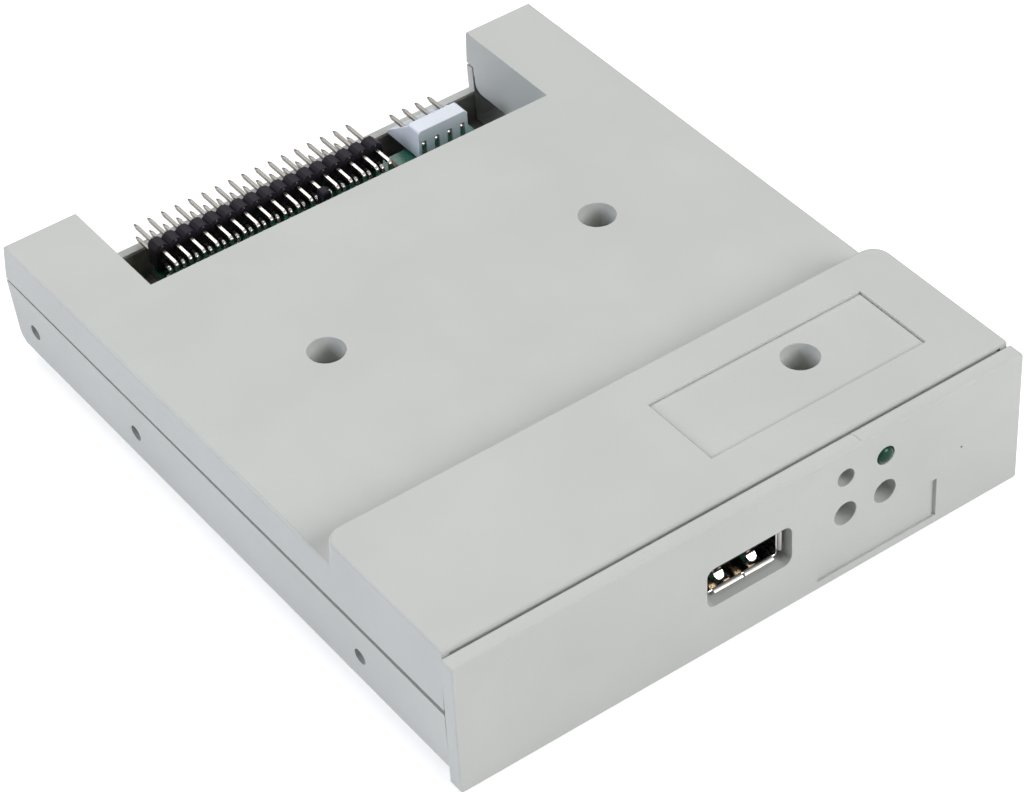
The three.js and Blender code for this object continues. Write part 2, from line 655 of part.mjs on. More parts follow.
// A pan-head screw with a crossed drive recess
function coverScrew([x, y]) {
  const seatZ = WELL_FLOOR_TOP_Z + SEAT_GAP;
  const headTopZ = seatZ + SCREW_HEAD_HEIGHT;
  const tipZ = UNDERSIDE_Z + SCREW_TIP_ABOVE_UNDERSIDE;
  const pointZ = tipZ + SCREW_SHANK_RADIUS;
  const profile = [
    [0, tipZ], [SCREW_SHANK_RADIUS / 2, tipZ], [SCREW_SHANK_RADIUS, pointZ], [SCREW_SHANK_RADIUS, seatZ],
    [SCREW_HEAD_RADIUS, seatZ], [SCREW_HEAD_RADIUS, headTopZ - SCREW_HEAD_HEIGHT / 2],
    [SCREW_HEAD_RADIUS - SCREW_HEAD_HEIGHT / 4, headTopZ - SCREW_HEAD_CROWN],
    [SCREW_SHANK_RADIUS, headTopZ], [0, headTopZ],
  ];
  const turned = new THREE.LatheGeometry(profile.map(([r, z]) => new THREE.Vector2(r, z)), HOLE_FACETS);
  const shank = solidOf(turned.rotateX(Math.PI / 2).translate(x, y, 0));
  const half = [DRIVE_RECESS_LENGTH / 2, DRIVE_RECESS_WIDTH / 2];
  const slots = [half, [...half].reverse()].map(([halfX, halfY]) => slab(
    [x - halfX, y - halfY, headTopZ - DRIVE_RECESS_DEPTH],
    [x + halfX, y + halfY, headTopZ + OVERRUN],
  ));
  return cut(shank, ...slots);
}

// Places of the header's columns and the power pins along X
function rowOfPlaces(centre, count) {
  return Array.from({ length: count }, (_, index) => centre + (index - (count - 1) / 2) * PITCH);
}

const HEADER_PLACES_X = rowOfPlaces(HEADER_CENTRE_X, HEADER_COLUMNS);
const POWER_PLACES_X = rowOfPlaces(POWER_CENTRE_X, POWER_PINS);
const LOWER_TAIL_Y = HEADER_FRONT_Y - PIN_REACH;
const UPPER_TAIL_Y = LOWER_TAIL_Y - PITCH;
const POWER_TAIL_Y = POWER_FRONT_Y + PIN_SIZE / 2;
const LAMP_TAIL_Y = FRONT_Y + LAMP_BODY_LENGTH + LAMP_LEAD_RUN;
const CONTACT_TAIL_Y = SOCKET_BACK_Y - INSULATOR_LENGTH / 2;

// Circuit board with a hole for each screw and soldered tail
function mainBoard() {
  const plate = slab(
    [BOARD_LEFT_X, FRONT_Y + BOARD_FRONT_SETBACK, BOARD_BOTTOM_Z],
    [BOARD_RIGHT_X, REAR_Y - BOARD_REAR_SETBACK, BOARD_TOP_Z],
  );
  const lowZ = BOARD_BOTTOM_Z - OVERRUN;
  const highZ = BOARD_TOP_Z + OVERRUN;
  const tails = [
    ...HEADER_PLACES_X.flatMap((x) => [[x, LOWER_TAIL_Y], [x, UPPER_TAIL_Y]]),
    ...POWER_PLACES_X.map((x) => [x, POWER_TAIL_Y]),
    ...CONTACT_PLACES_X.map((x) => [x, CONTACT_TAIL_Y]),
    ...[-1, 1].map((side) => [RIGHT_COLUMN_X + side * LAMP_LEAD_PITCH / 2, LAMP_TAIL_Y]),
  ];
  return cut(
    plate,
    ...SCREW_PLACES.map(([x, y]) => rodAlongZ(x, y, SCREW_HOLE_RADIUS, lowZ, highZ, HOLE_FACETS)),
    ...tails.map(([x, y]) => rodAlongZ(x, y, TAIL_HOLE_RADIUS, lowZ, highZ, TAIL_HOLE_FACETS)),
  );
}

// Header housing: two rows of chamfered cells side by side, each with its pin holes
function headerHousing() {
  const half = PITCH / 2;
  const topZ = HEADER_BOTTOM_Z + PITCH * 2;
  const lastX = HEADER_PLACES_X[HEADER_PLACES_X.length - 1] + half;
  const edgeOf = (outerZ, innerZ) => [
    ...HEADER_PLACES_X.flatMap((x) => [
      [x - half, innerZ], [x - half + HEADER_CHAMFER, outerZ], [x + half - HEADER_CHAMFER, outerZ],
    ]),
    [lastX, innerZ],
  ];
  const lower = edgeOf(HEADER_BOTTOM_Z, HEADER_BOTTOM_Z + HEADER_CHAMFER);
  const upper = edgeOf(topZ, topZ - HEADER_CHAMFER).reverse();
  const strip = prismAlongY(outlineOf([...lower, ...upper]), HEADER_FRONT_Y, HEADER_REAR_Y);
  const halfHole = PIN_SIZE / 2 + PIN_GAP;
  const holes = HEADER_PLACES_X.flatMap((x) => [LOWER_ROW_Z, UPPER_ROW_Z].map((z) => slab(
    [x - halfHole, HEADER_FRONT_Y - OVERRUN, z - halfHole],
    [x + halfHole, HEADER_REAR_Y + OVERRUN, z + halfHole],
  )));
  return cut(strip, ...holes);
}

// A right-angle pin: a tapered tip to the rear, a bend, and a tail through the board
function anglePin(x, tipY, rowZ, tailY) {
  const centre = [tailY + PIN_BEND_RADIUS, rowZ - PIN_BEND_RADIUS];
  const bend = Array.from({ length: ARC_FACETS / 2 + 1 }, (_, step) => {
    const angle = Math.PI / 2 * (1 + step / (ARC_FACETS / 2));
    return [centre[0] + PIN_BEND_RADIUS * Math.cos(angle), centre[1] + PIN_BEND_RADIUS * Math.sin(angle)];
  });
  const path = [
    [tipY, rowZ], [tipY - PIN_TAPER_LENGTH, rowZ], ...bend,
    [tailY, TAIL_END_Z + PIN_TAPER_LENGTH], [tailY, TAIL_END_Z],
  ];
  const shares = path.map((_, index) => (index === 0 || index === path.length - 1 ? PIN_TIP_SHARE : 1));
  return sweptBar(x, path, PIN_SIZE, shares);
}

function headerPin(x, isUpper) {
  const tipY = REAR_Y - PIN_TIP_SETBACK;
  return isUpper
    ? anglePin(x, tipY, UPPER_ROW_Z, UPPER_TAIL_Y)
    : anglePin(x, tipY, LOWER_ROW_Z, LOWER_TAIL_Y);
}

// Power inlet: a block with a slot for each pin, and a tray under the tips with a gusset at each end
function powerHousing() {
  const topZ = POWER_BOTTOM_Z + POWER_BLOCK_HEIGHT;
  const left = POWER_CENTRE_X - POWER_HALF;
  const right = POWER_CENTRE_X + POWER_HALF;
  const front = outlineOf([
    [left, POWER_BOTTOM_Z], [right, POWER_BOTTOM_Z], [right, topZ - POWER_CHAMFER],
    [right - POWER_CHAMFER, topZ], [left + POWER_CHAMFER, topZ], [left, topZ - POWER_CHAMFER],
  ]);
  const block = prismAlongY(front, POWER_FRONT_Y, POWER_REAR_Y);
  const trayTopZ = POWER_BOTTOM_Z + POWER_TRAY_THICKNESS;
  const tray = slab(
    [left, POWER_REAR_Y - OVERRUN, POWER_BOTTOM_Z],
    [right, POWER_REAR_Y + POWER_TRAY_LENGTH, trayTopZ],
  );
  const wedge = outlineOf([
    [POWER_REAR_Y - OVERRUN, POWER_BOTTOM_Z], [POWER_REAR_Y + POWER_TRAY_LENGTH, POWER_BOTTOM_Z],
    [POWER_REAR_Y + POWER_TRAY_LENGTH, trayTopZ], [POWER_REAR_Y, topZ - POWER_CHAMFER],
    [POWER_REAR_Y - OVERRUN, topZ - POWER_CHAMFER],
  ]);
  const gussets = [left, right - POWER_GUSSET_WIDTH].map((from) => (
    prismAlongX(wedge, from, from + POWER_GUSSET_WIDTH)));
  const halfSlot = POWER_SLOT_WIDTH / 2;
  const slots = POWER_PLACES_X.map((x) => slab(
    [x - halfSlot, POWER_FRONT_Y - OVERRUN, POWER_BOTTOM_Z - OVERRUN],
    [x + halfSlot, POWER_FRONT_Y + POWER_SLOT_DEPTH, POWER_PIN_Z + halfSlot],
  ));
  const halfHole = PIN_SIZE / 2 + PIN_GAP;
  const holes = POWER_PLACES_X.map((x) => slab(
    [x - halfHole, POWER_FRONT_Y, POWER_PIN_Z - halfHole],
    [x + halfHole, POWER_REAR_Y + OVERRUN, POWER_PIN_Z + halfHole],
  ));
  return cut(join(block, tray, ...gussets), ...slots, ...holes);
}

function powerPin(x) {
  return anglePin(x, POWER_REAR_Y + POWER_PIN_REACH, POWER_PIN_Z, POWER_TAIL_Y);
}

// Socket shell: a folded sheet-metal tube whose four mouth lips flare outwards
function flaredLip(isFlat, side) {
  const outer = isFlat ? SOCKET_HEIGHT / 2 : SOCKET_WIDTH / 2;
  const halfLength = (isFlat ? SOCKET_WIDTH : SOCKET_HEIGHT) / 2 - SOCKET_LIP_INSET;
  const profile = [
    [SOCKET_FRONT_Y, outer + SOCKET_LIP_REACH], [SOCKET_FRONT_Y, outer + SOCKET_LIP_REACH - SOCKET_SHEET],
    [SOCKET_FRONT_Y + SOCKET_LIP_REACH, outer - SOCKET_SHEET],
    [SOCKET_FRONT_Y + SOCKET_LIP_REACH * 2, outer - SOCKET_SHEET],
    [SOCKET_FRONT_Y + SOCKET_LIP_REACH * 2, outer], [SOCKET_FRONT_Y + SOCKET_LIP_REACH, outer],
  ].map(([y, reach]) => [y, reach * side]);
  if (side < 0) profile.reverse();
  if (isFlat) {
    const lifted = profile.map(([y, reach]) => [y, SOCKET_CENTRE_Z + reach]).reverse();
    return prismAlongX(outlineOf(lifted), -halfLength, halfLength);
  }
  const turned = profile.map(([y, reach]) => [reach, y]);
  return prismAlongZ(outlineOf(turned), SOCKET_CENTRE_Z - halfLength, SOCKET_CENTRE_Z + halfLength);
}

function socketTube(inset, frontY, backY) {
  const shape = roundedOutline(
    -SOCKET_WIDTH / 2 + inset, SOCKET_WIDTH / 2 - inset,
    SOCKET_BOTTOM_Z + inset, SOCKET_BOTTOM_Z + SOCKET_HEIGHT - inset,
    SOCKET_CORNER_RADIUS - inset,
  );
  return prismAlongY(shape, frontY, backY);
}

function usbShell() {
  const mouthY = SOCKET_FRONT_Y + SOCKET_LIP_REACH;
  const tube = cut(
    socketTube(0, mouthY, SOCKET_BACK_Y),
    socketTube(SOCKET_SHEET, mouthY - OVERRUN, SOCKET_BACK_Y + OVERRUN),
  );
  const tailGap = slab(
    [-SOCKET_WIDTH / 2 + SOCKET_LIP_INSET, SOCKET_FRONT_Y + SOCKET_FLOOR_LENGTH, SOCKET_BOTTOM_Z - OVERRUN],
    [SOCKET_WIDTH / 2 - SOCKET_LIP_INSET, SOCKET_BACK_Y + OVERRUN, SOCKET_BOTTOM_Z + SOCKET_SHEET + PIN_GAP],
  );
  const lips = [flaredLip(true, 1), flaredLip(true, -1), flaredLip(false, 1), flaredLip(false, -1)];
  return cut(join(tube, ...lips), tailGap);
}

// Insulator: a block that plugs the back of the shell, with the tongue standing out of it
function usbInsulator() {
  const halfBlock = SOCKET_WIDTH / 2 - SOCKET_SHEET - SEAT_GAP;
  const bottomZ = SOCKET_BOTTOM_Z + SOCKET_SHEET + SEAT_GAP;
  const block = slab(
    [-halfBlock, SOCKET_BACK_Y - INSULATOR_LENGTH, bottomZ],
    [halfBlock, SOCKET_BACK_Y, SOCKET_BOTTOM_Z + SOCKET_HEIGHT - SOCKET_SHEET - SEAT_GAP],
  );
  const tongue = slab(
    [-TONGUE_WIDTH / 2, SOCKET_FRONT_Y + TONGUE_SETBACK, TONGUE_BOTTOM_Z],
    [TONGUE_WIDTH / 2, SOCKET_BACK_Y - OVERRUN, TONGUE_TOP_Z],
  );
  const halfChannel = CONTACT_WIDTH / 2 + PIN_GAP;
  const channels = CONTACT_PLACES_X.map((x) => slab(
    [x - halfChannel, SOCKET_BACK_Y - INSULATOR_LENGTH - OVERRUN, bottomZ - OVERRUN],
    [x + halfChannel, CONTACT_TAIL_Y + CONTACT_THICKNESS / 2 + PIN_GAP, TONGUE_BOTTOM_Z],
  ));
  return cut(join(block, tongue), ...channels);
}

function usbContact(x) {
  const runZ = TONGUE_BOTTOM_Z - PIN_GAP - CONTACT_THICKNESS;
  const halfWidth = CONTACT_WIDTH / 2;
  const blade = slab(
    [x - halfWidth, SOCKET_FRONT_Y + TONGUE_SETBACK + CONTACT_FRONT_INSET, runZ],
    [x + halfWidth, CONTACT_TAIL_Y + CONTACT_THICKNESS / 2, runZ + CONTACT_THICKNESS],
  );
  const halfTail = PIN_SIZE / 2;
  const shoulder = slab(
    [x - halfTail, CONTACT_TAIL_Y - CONTACT_THICKNESS / 2, TAIL_END_Z],
    [x + halfTail, CONTACT_TAIL_Y + CONTACT_THICKNESS / 2, runZ + CONTACT_THICKNESS],
  );
  return join(blade, shoulder);
}

// Lamp: domed lens, flange and two bent leads in one piece
function statusLamp() {
  const domeSteps = ARC_FACETS;
  const dome = Array.from({ length: domeSteps + 1 }, (_, step) => {
    const angle = Math.PI / 2 * step / domeSteps;
    return [LAMP_RADIUS * Math.sin(angle), LAMP_RADIUS * Math.cos(angle)];
  });
  const shoulder = LAMP_RADIUS - LAMP_BODY_LENGTH;
  const profile = [
    ...dome, [LAMP_RADIUS, shoulder], [LAMP_FLANGE_RADIUS, shoulder],
    [LAMP_FLANGE_RADIUS, shoulder - LAMP_FLANGE_LENGTH], [0, shoulder - LAMP_FLANGE_LENGTH],
  ];
  const points = profile.reverse().map(([radius, height]) => new THREE.Vector2(radius, height));
  const lens = solidOf(new THREE.LatheGeometry(points, HOLE_FACETS)
    .rotateX(Math.PI).translate(RIGHT_COLUMN_X, FRONT_Y - LAMP_PROUD + LAMP_RADIUS, LAMP_ROW_Z));
  const startY = FRONT_Y - LAMP_PROUD + LAMP_BODY_LENGTH + LAMP_FLANGE_LENGTH - EDGE_ROUND;
  const leads = [-1, 1].map((side) => sweptBar(
    RIGHT_COLUMN_X + side * LAMP_LEAD_PITCH / 2,
    [[startY, LAMP_ROW_Z], [LAMP_TAIL_Y - PIN_BEND_RADIUS, LAMP_ROW_Z],
      [LAMP_TAIL_Y, LAMP_ROW_Z - PIN_BEND_RADIUS], [LAMP_TAIL_Y, TAIL_END_Z]],
    LAMP_LEAD_SIZE, [1, 1, 1, 1],
  ));
  return join(lens, ...leads);
}

// Push switch: a box with a front aperture that keeps the flanged plunger in
function switchBody(x) {
  const bottomZ = BOARD_TOP_Z + SOLDER_GAP;
  const frontY = FRONT_Y + SWITCH_FRONT_DEPTH;
  const block = slab(
    [x - SWITCH_WIDTH / 2, frontY, bottomZ],
    [x + SWITCH_WIDTH / 2, frontY + SWITCH_THICKNESS, bottomZ + SWITCH_HEIGHT],
  );
  const chamberRadius = PLUNGER_FLANGE_RADIUS + SEAT_GAP;
  const chamberEnd = frontY + SWITCH_FACE + PLUNGER_FLANGE_LENGTH + BUTTON_TRAVEL + SEAT_GAP * 2;
  return cut(
    block,
    rodAlongY(x, BUTTON_Z, BUTTON_BORE_RADIUS, frontY - OVERRUN, frontY + SWITCH_FACE, HOLE_FACETS),
    rodAlongY(x, BUTTON_Z, chamberRadius, frontY + SWITCH_FACE - PIN_GAP, chamberEnd, HOLE_FACETS),
  );
}

function switchPlunger(x) {
  const tipY = FRONT_Y + BUTTON_SUNK;
  const flangeY = FRONT_Y + SWITCH_FRONT_DEPTH + SWITCH_FACE + SEAT_GAP;
  return join(
    rodAlongY(x, BUTTON_Z, BUTTON_RADIUS, tipY, flangeY + PLUNGER_FLANGE_LENGTH, HOLE_FACETS),
    rodAlongY(x, BUTTON_Z, PLUNGER_FLANGE_RADIUS, flangeY, flangeY + PLUNGER_FLANGE_LENGTH, HOLE_FACETS),
  );
}

// Controller chip with a row of flat leads on each side
function controllerChip() {
  const y = FRONT_Y + CHIP_CENTRE_DEPTH;
  const half = CHIP_SIZE / 2;
  const bottomZ = BOARD_TOP_Z + SOLDER_GAP;
  const body = slab(
    [CHIP_CENTRE_X - half, y - half, bottomZ],
    [CHIP_CENTRE_X + half, y + half, bottomZ + CHIP_THICKNESS],
  );
  const leads = Array.from({ length: CHIP_LEADS_PER_SIDE }, (_, index) => {
    const offset = (index - (CHIP_LEADS_PER_SIDE - 1) / 2) * CHIP_LEAD_PITCH;
    const reach = half + CHIP_LEAD_REACH;
    const halfLead = CHIP_LEAD_WIDTH / 2;
    return [
      slab([CHIP_CENTRE_X + offset - halfLead, y - reach, bottomZ],
        [CHIP_CENTRE_X + offset + halfLead, y + reach, bottomZ + CHIP_LEAD_THICKNESS]),
      slab([CHIP_CENTRE_X - reach, y + offset - halfLead, bottomZ],
        [CHIP_CENTRE_X + reach, y + offset + halfLead, bottomZ + CHIP_LEAD_THICKNESS]),
    ];
  }).flat();
  return join(body, ...leads);
}

// Crystal can: a stadium-shaped lid on a wider rim
function crystalCan() {
  const y = FRONT_Y + CRYSTAL_CENTRE_DEPTH;
  const bottomZ = BOARD_TOP_Z + SOLDER_GAP;
  const stadium = (grow) => roundedOutline(
    CRYSTAL_CENTRE_X - CRYSTAL_LENGTH / 2 - grow, CRYSTAL_CENTRE_X + CRYSTAL_LENGTH / 2 + grow,
    y - CRYSTAL_WIDTH / 2 - grow, y + CRYSTAL_WIDTH / 2 + grow,
    CRYSTAL_WIDTH / 2 + grow - CRYSTAL_END_FLAT,
  );
  return join(
    prismAlongZ(stadium(CRYSTAL_RIM), bottomZ, bottomZ + CRYSTAL_RIM),
    prismAlongZ(stadium(0), bottomZ, bottomZ + CRYSTAL_HEIGHT, EDGE_ROUND / 2),
  );
}

// Voltage regulator with three leads on one side and a wide tab on the other
function regulator() {
  const y = REAR_Y - REGULATOR_CENTRE_SETBACK;
  const x = REGULATOR_CENTRE_X;
  const bottomZ = BOARD_TOP_Z + SOLDER_GAP;
  const leadTopZ = bottomZ + REGULATOR_LEAD_THICKNESS;
  const edgeY = REGULATOR_WIDTH / 2;
  const body = slab(
    [x - REGULATOR_LENGTH / 2, y - edgeY, bottomZ],
    [x + REGULATOR_LENGTH / 2, y + edgeY, bottomZ + REGULATOR_THICKNESS],
  );
  const tab = slab([x - REGULATOR_TAB_WIDTH / 2, y, bottomZ],
    [x + REGULATOR_TAB_WIDTH / 2, y + edgeY + REGULATOR_LEAD_REACH, leadTopZ]);
  const leads = [-1, 0, 1].map((place) => slab(
    [x + place * REGULATOR_LEAD_PITCH - REGULATOR_LEAD_WIDTH / 2, y - edgeY - REGULATOR_LEAD_REACH, bottomZ],
    [x + place * REGULATOR_LEAD_PITCH + REGULATOR_LEAD_WIDTH / 2, y, leadTopZ],
  ));
  return join(body, tab, ...leads);
}

// The scene graph
const emulator = new THREE.Group();

function addPiece(name, solid, material) {
  const mesh = new THREE.Mesh(geometryOf(solid), material);
  mesh.name = name;
  emulator.add(mesh);
}

function twoDigits(index) {
  return String(index + 1).padStart(2, '0');
}

addPiece('bottom_case', bottomCase(), FINISH.casePlastic);
addPiece('top_cover', topCover(), FINISH.casePlastic);
addPiece('main_board', mainBoard(), FINISH.board);
addPiece('header_housing', headerHousing(), FINISH.blackPlastic);
HEADER_PLACES_X.forEach((x, index) => {
  addPiece(`header_pin_upper_${twoDigits(index)}`, headerPin(x, true), FINISH.tinnedPin);
  addPiece(`header_pin_lower_${twoDigits(index)}`, headerPin(x, false), FINISH.tinnedPin);
});
addPiece('power_housing', powerHousing(), FINISH.whiteNylon);
POWER_PLACES_X.forEach((x, index) => {
  addPiece(`power_pin_${index + 1}`, powerPin(x), FINISH.tinnedPin);
});
addPiece('usb_shell', usbShell(), FINISH.brightSteel);
addPiece('usb_insulator', usbInsulator(), FINISH.blackPlastic);
CONTACT_PLACES_X.forEach((x, index) => {
  addPiece(`usb_contact_${index + 1}`, usbContact(x), FINISH.goldContact);
});
addPiece('status_led', statusLamp(), FINISH.greenLens);
addPiece('left_switch_body', switchBody(LEFT_COLUMN_X), FINISH.blackPlastic);
addPiece('left_switch_plunger', switchPlunger(LEFT_COLUMN_X), FINISH.blackPlastic);
addPiece('right_switch_body', switchBody(RIGHT_COLUMN_X), FINISH.blackPlastic);
addPiece('right_switch_plunger', switchPlunger(RIGHT_COLUMN_X), FINISH.blackPlastic);
addPiece('controller_chip', controllerChip(), FINISH.blackPlastic);
addPiece('crystal', crystalCan(), FINISH.brightSteel);
addPiece('regulator', regulator(), FINISH.blackPlastic);
SCREW_PLACES.forEach((place, index) => {
  addPiece(`cover_screw_${index + 1}`, coverScrew(place), FINISH.brightSteel);
});

export default emulator;
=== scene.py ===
"""Floppy drive emulator for a 3.5-inch bay: looks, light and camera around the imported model.

Lengths in the dataclasses are millimetres in the part's frame: +X right seen from the front,
+Y to the rear connectors, +Z up, with the origin under the middle of the part.
A normal faces an axis when its share along it is over FACING, and two places in millimetres are
near each other within NEAR, or the same within SAME. Faces of a copied node that turn by less
than FLAT_DEGREES become one.
"""

import json
import logging
import math
from collections.abc import Callable, Iterable
from dataclasses import dataclass
from enum import Enum

import bpy
from mathutils import Matrix, Vector

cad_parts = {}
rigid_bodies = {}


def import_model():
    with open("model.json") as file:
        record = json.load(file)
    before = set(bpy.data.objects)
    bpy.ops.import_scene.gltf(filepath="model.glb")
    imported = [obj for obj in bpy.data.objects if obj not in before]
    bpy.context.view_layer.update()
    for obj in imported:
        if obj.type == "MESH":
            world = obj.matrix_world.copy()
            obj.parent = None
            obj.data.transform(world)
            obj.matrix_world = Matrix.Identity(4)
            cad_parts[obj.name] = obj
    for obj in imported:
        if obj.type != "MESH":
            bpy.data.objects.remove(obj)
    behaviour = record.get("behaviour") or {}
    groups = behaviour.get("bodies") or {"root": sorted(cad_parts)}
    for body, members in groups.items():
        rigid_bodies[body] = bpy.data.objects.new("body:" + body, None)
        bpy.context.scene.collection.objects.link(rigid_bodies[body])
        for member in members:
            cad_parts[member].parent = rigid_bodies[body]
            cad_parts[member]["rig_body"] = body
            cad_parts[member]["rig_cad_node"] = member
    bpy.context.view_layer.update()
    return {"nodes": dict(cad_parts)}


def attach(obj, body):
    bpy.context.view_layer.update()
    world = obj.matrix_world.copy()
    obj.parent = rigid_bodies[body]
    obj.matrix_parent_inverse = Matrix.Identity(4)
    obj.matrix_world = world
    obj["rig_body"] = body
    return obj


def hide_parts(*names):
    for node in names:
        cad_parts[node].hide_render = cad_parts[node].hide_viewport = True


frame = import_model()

MM = 0.001
HOUSING = "housing"
FACING = 0.9
NEAR = 0.05
SAME = 0.002
FLAT_DEGREES = 0.6
PHOTO_WIDTH_PX = 1024
SENSOR_MM = 36.0
log = logging.getLogger("floppy_emulator")

Colour = tuple[float, float, float]
Point = tuple[float, float, float]
FaceTest = Callable[[Vector, Vector], bool]


def linear(red: int, green: int, blue: int) -> Colour:
    """Turns a display colour into a linear one.

    Args:
        red: Display red, 0 to 255.
        green: Display green, 0 to 255.
        blue: Display blue, 0 to 255.

    Returns:
        The linear colour that the shaders take.
    """
    def one(value: int) -> float:
        """Turns one display channel into a linear one."""
        share = value / 255
        return share / 12.92 if share <= 0.04045 else ((share + 0.055) / 1.055) ** 2.4
    return one(red), one(green), one(blue)


class Bench:
    """The node bench of one material, with its shader and Object coordinates ready."""

    def __init__(self, name: str) -> None:
        """Makes the empty material.

        Args:
            name: Start of the material's name; the CAD materials keep their own names.
        """
        self.material = bpy.data.materials.new(f"{name}_finish")
        self.material.use_nodes = True
        self.tree = self.material.node_tree
        self.tree.nodes.clear()
        self.shader = self.node("ShaderNodeBsdfPrincipled")
        self.output = self.node("ShaderNodeOutputMaterial")
        self.link(self.shader.outputs["BSDF"], self.output.inputs["Surface"])
        self.place = self.node("ShaderNodeTexCoord").outputs["Object"]

    def node(self, kind: str, **values: object) -> bpy.types.Node:
        """Adds a node and sets its plain properties."""
        made = self.tree.nodes.new(kind)
        for key, value in values.items():
            setattr(made, key, value)
        return made

    def link(self, source: bpy.types.NodeSocket, target: bpy.types.NodeSocket) -> None:
        """Joins two sockets."""
        self.tree.links.new(source, target)

    def plain(self, **sockets: object) -> None:
        """Sets uniform values on the shader, with underscores for spaces."""
        for key, value in sockets.items():
            target = self.shader.inputs[key.replace("_", " ")]
            target.default_value = (*value, 1.0) if isinstance(value, tuple) and len(value) == 3 else value

    def noise(self, per_mm: float, detail: float = 3.0, rough: float = 0.55,
              stretch: Point = (1.0, 1.0, 1.0)) -> bpy.types.NodeSocket:
        """Adds noise on Object coordinates.

        Args:
            per_mm: Number of waves in a millimetre.
            detail: Octaves of finer noise.
            rough: Strength of the finer octaves.
            stretch: Scale along each axis, for brushed or drawn surfaces.

        Returns:
            The noise factor, about 0 to 1.
        """
        mapping = self.node("ShaderNodeMapping")
        mapping.inputs["Scale"].default_value = stretch
        self.link(self.place, mapping.inputs["Vector"])
        made = self.node("ShaderNodeTexNoise")
        self.set_up(made, Scale=per_mm / MM, Detail=detail, Roughness=rough)
        self.link(mapping.outputs["Vector"], made.inputs["Vector"])
        return made.outputs["Fac"]

    def along(self, axis: str) -> bpy.types.NodeSocket:
        """Returns the place along X, Y or Z in metres."""
        made = self.node("ShaderNodeSeparateXYZ")
        self.link(self.place, made.inputs["Vector"])
        return made.outputs[axis]

    def remap(self, value: bpy.types.NodeSocket, low: float, high: float,
              to_low: float = 0.0, to_high: float = 1.0) -> bpy.types.NodeSocket:
        """Maps one range of a value to another, clamped."""
        made = self.node("ShaderNodeMapRange")
        self.link(value, made.inputs["Value"])
        self.set_up(made, From_Min=low, From_Max=high, To_Min=to_low, To_Max=to_high)
        return made.outputs["Result"]

    def math(self, operation: str, first: object, second: object = 0.0) -> bpy.types.NodeSocket:
        """Adds a Math node on two sockets or numbers."""
        made = self.node("ShaderNodeMath", operation=operation)
        for index, value in enumerate((first, second)):
            if isinstance(value, (int, float)):
                made.inputs[index].default_value = value
            else:
                self.link(value, made.inputs[index])
        return made.outputs["Value"]

    def blend(self, share: bpy.types.NodeSocket, first: object, second: object) -> bpy.types.NodeSocket:
        """Mixes two colours or colour sockets by a share."""
        made = self.node("ShaderNodeMix", data_type="RGBA")
        self.link(share, made.inputs["Factor"])
        for key, value in (("A", first), ("B", second)):
            target = [s for s in made.inputs if s.name == key and s.type == "RGBA"][0]
            if isinstance(value, tuple):
                target.default_value = (*value, 1.0)
            else:
                self.link(value, target)
        return [s for s in made.outputs if s.type == "RGBA"][0]

    def set_up(self, texture: bpy.types.Node, **sockets: object) -> None:
        """Sets plain values on a texture node, with underscores for spaces."""
        for key, value in sockets.items():
            texture.inputs[key.replace("_", " ")].default_value = value

    def raise_by(self, height: bpy.types.NodeSocket, depth_mm: float) -> bpy.types.NodeSocket:
        """Adds a bump of a real depth and returns its normal."""
        made = self.node("ShaderNodeBump")
        made.inputs["Distance"].default_value = depth_mm * MM
        self.link(height, made.inputs["Height"])
        return made.outputs["Normal"]


class Finish:
    """A surface finish that makes its own material once."""

    def material(self) -> bpy.types.Material:
        """Returns the finish's material, made on first use."""
        made = bpy.data.materials.get(f"{self.label}_finish")
        return made if made else self.make().material

    def make(self) -> Bench:
        """Builds the node tree."""
        raise NotImplementedError


@dataclass(frozen=True)
class MouldedPlastic(Finish):
    """Injection-moulded plastic with a spark-eroded grain."""

    label: str
    colour: Colour
    mottle: float = 0.03
    mottle_per_mm: float = 0.05
    roughness: float = 0.5
    grain_per_mm: float = 3.2
    grain_mm: float = 0.006
    specular: float = 0.35
    # Painted shade: below the height given here the colour is darkened to the share that follows; the default
    # height of -100 mm leaves it off.
    shade_below_z: float = -100.0
    shade_below_share: float = 0.3

    def make(self) -> Bench:
        """Builds a slow mottle, a fine grain and sparse specks, with painted shade that darkens the colour
        below a height.
        """
        bench = Bench(self.label)
        slow = bench.noise(self.mottle_per_mm, 2.0)
        dark = tuple(c * (1 - self.mottle) for c in self.colour)
        light = tuple(min(c * (1 + self.mottle), 1.0) for c in self.colour)
        body = bench.blend(bench.remap(slow, 0.3, 0.7), dark, light)
        fine = bench.noise(self.grain_per_mm, 2.0, 0.6)
        dusty = tuple(c * (1 - self.mottle * 1.2) for c in self.colour)
        body = bench.blend(bench.remap(fine, 0.56, 0.72, 0.0, 0.55), body, dusty)
        # Painted shade: under the height the colour is darkened to a share of itself, over half a millimetre.
        height = bench.along("Z")
        shade_mask = bench.remap(height, self.shade_below_z * MM, (self.shade_below_z + 0.5) * MM, 1.0, 0.0)
        body = bench.blend(shade_mask, body, tuple(c * self.shade_below_share for c in self.colour))
        bench.link(body, bench.shader.inputs["Base Color"])
        rough = bench.remap(fine, 0.3, 0.7, self.roughness - 0.05, self.roughness + 0.07)
        bench.link(rough, bench.shader.inputs["Roughness"])
        bench.link(bench.raise_by(fine, self.grain_mm), bench.shader.inputs["Normal"])
        bench.plain(Specular_IOR_Level=self.specular)
        return bench


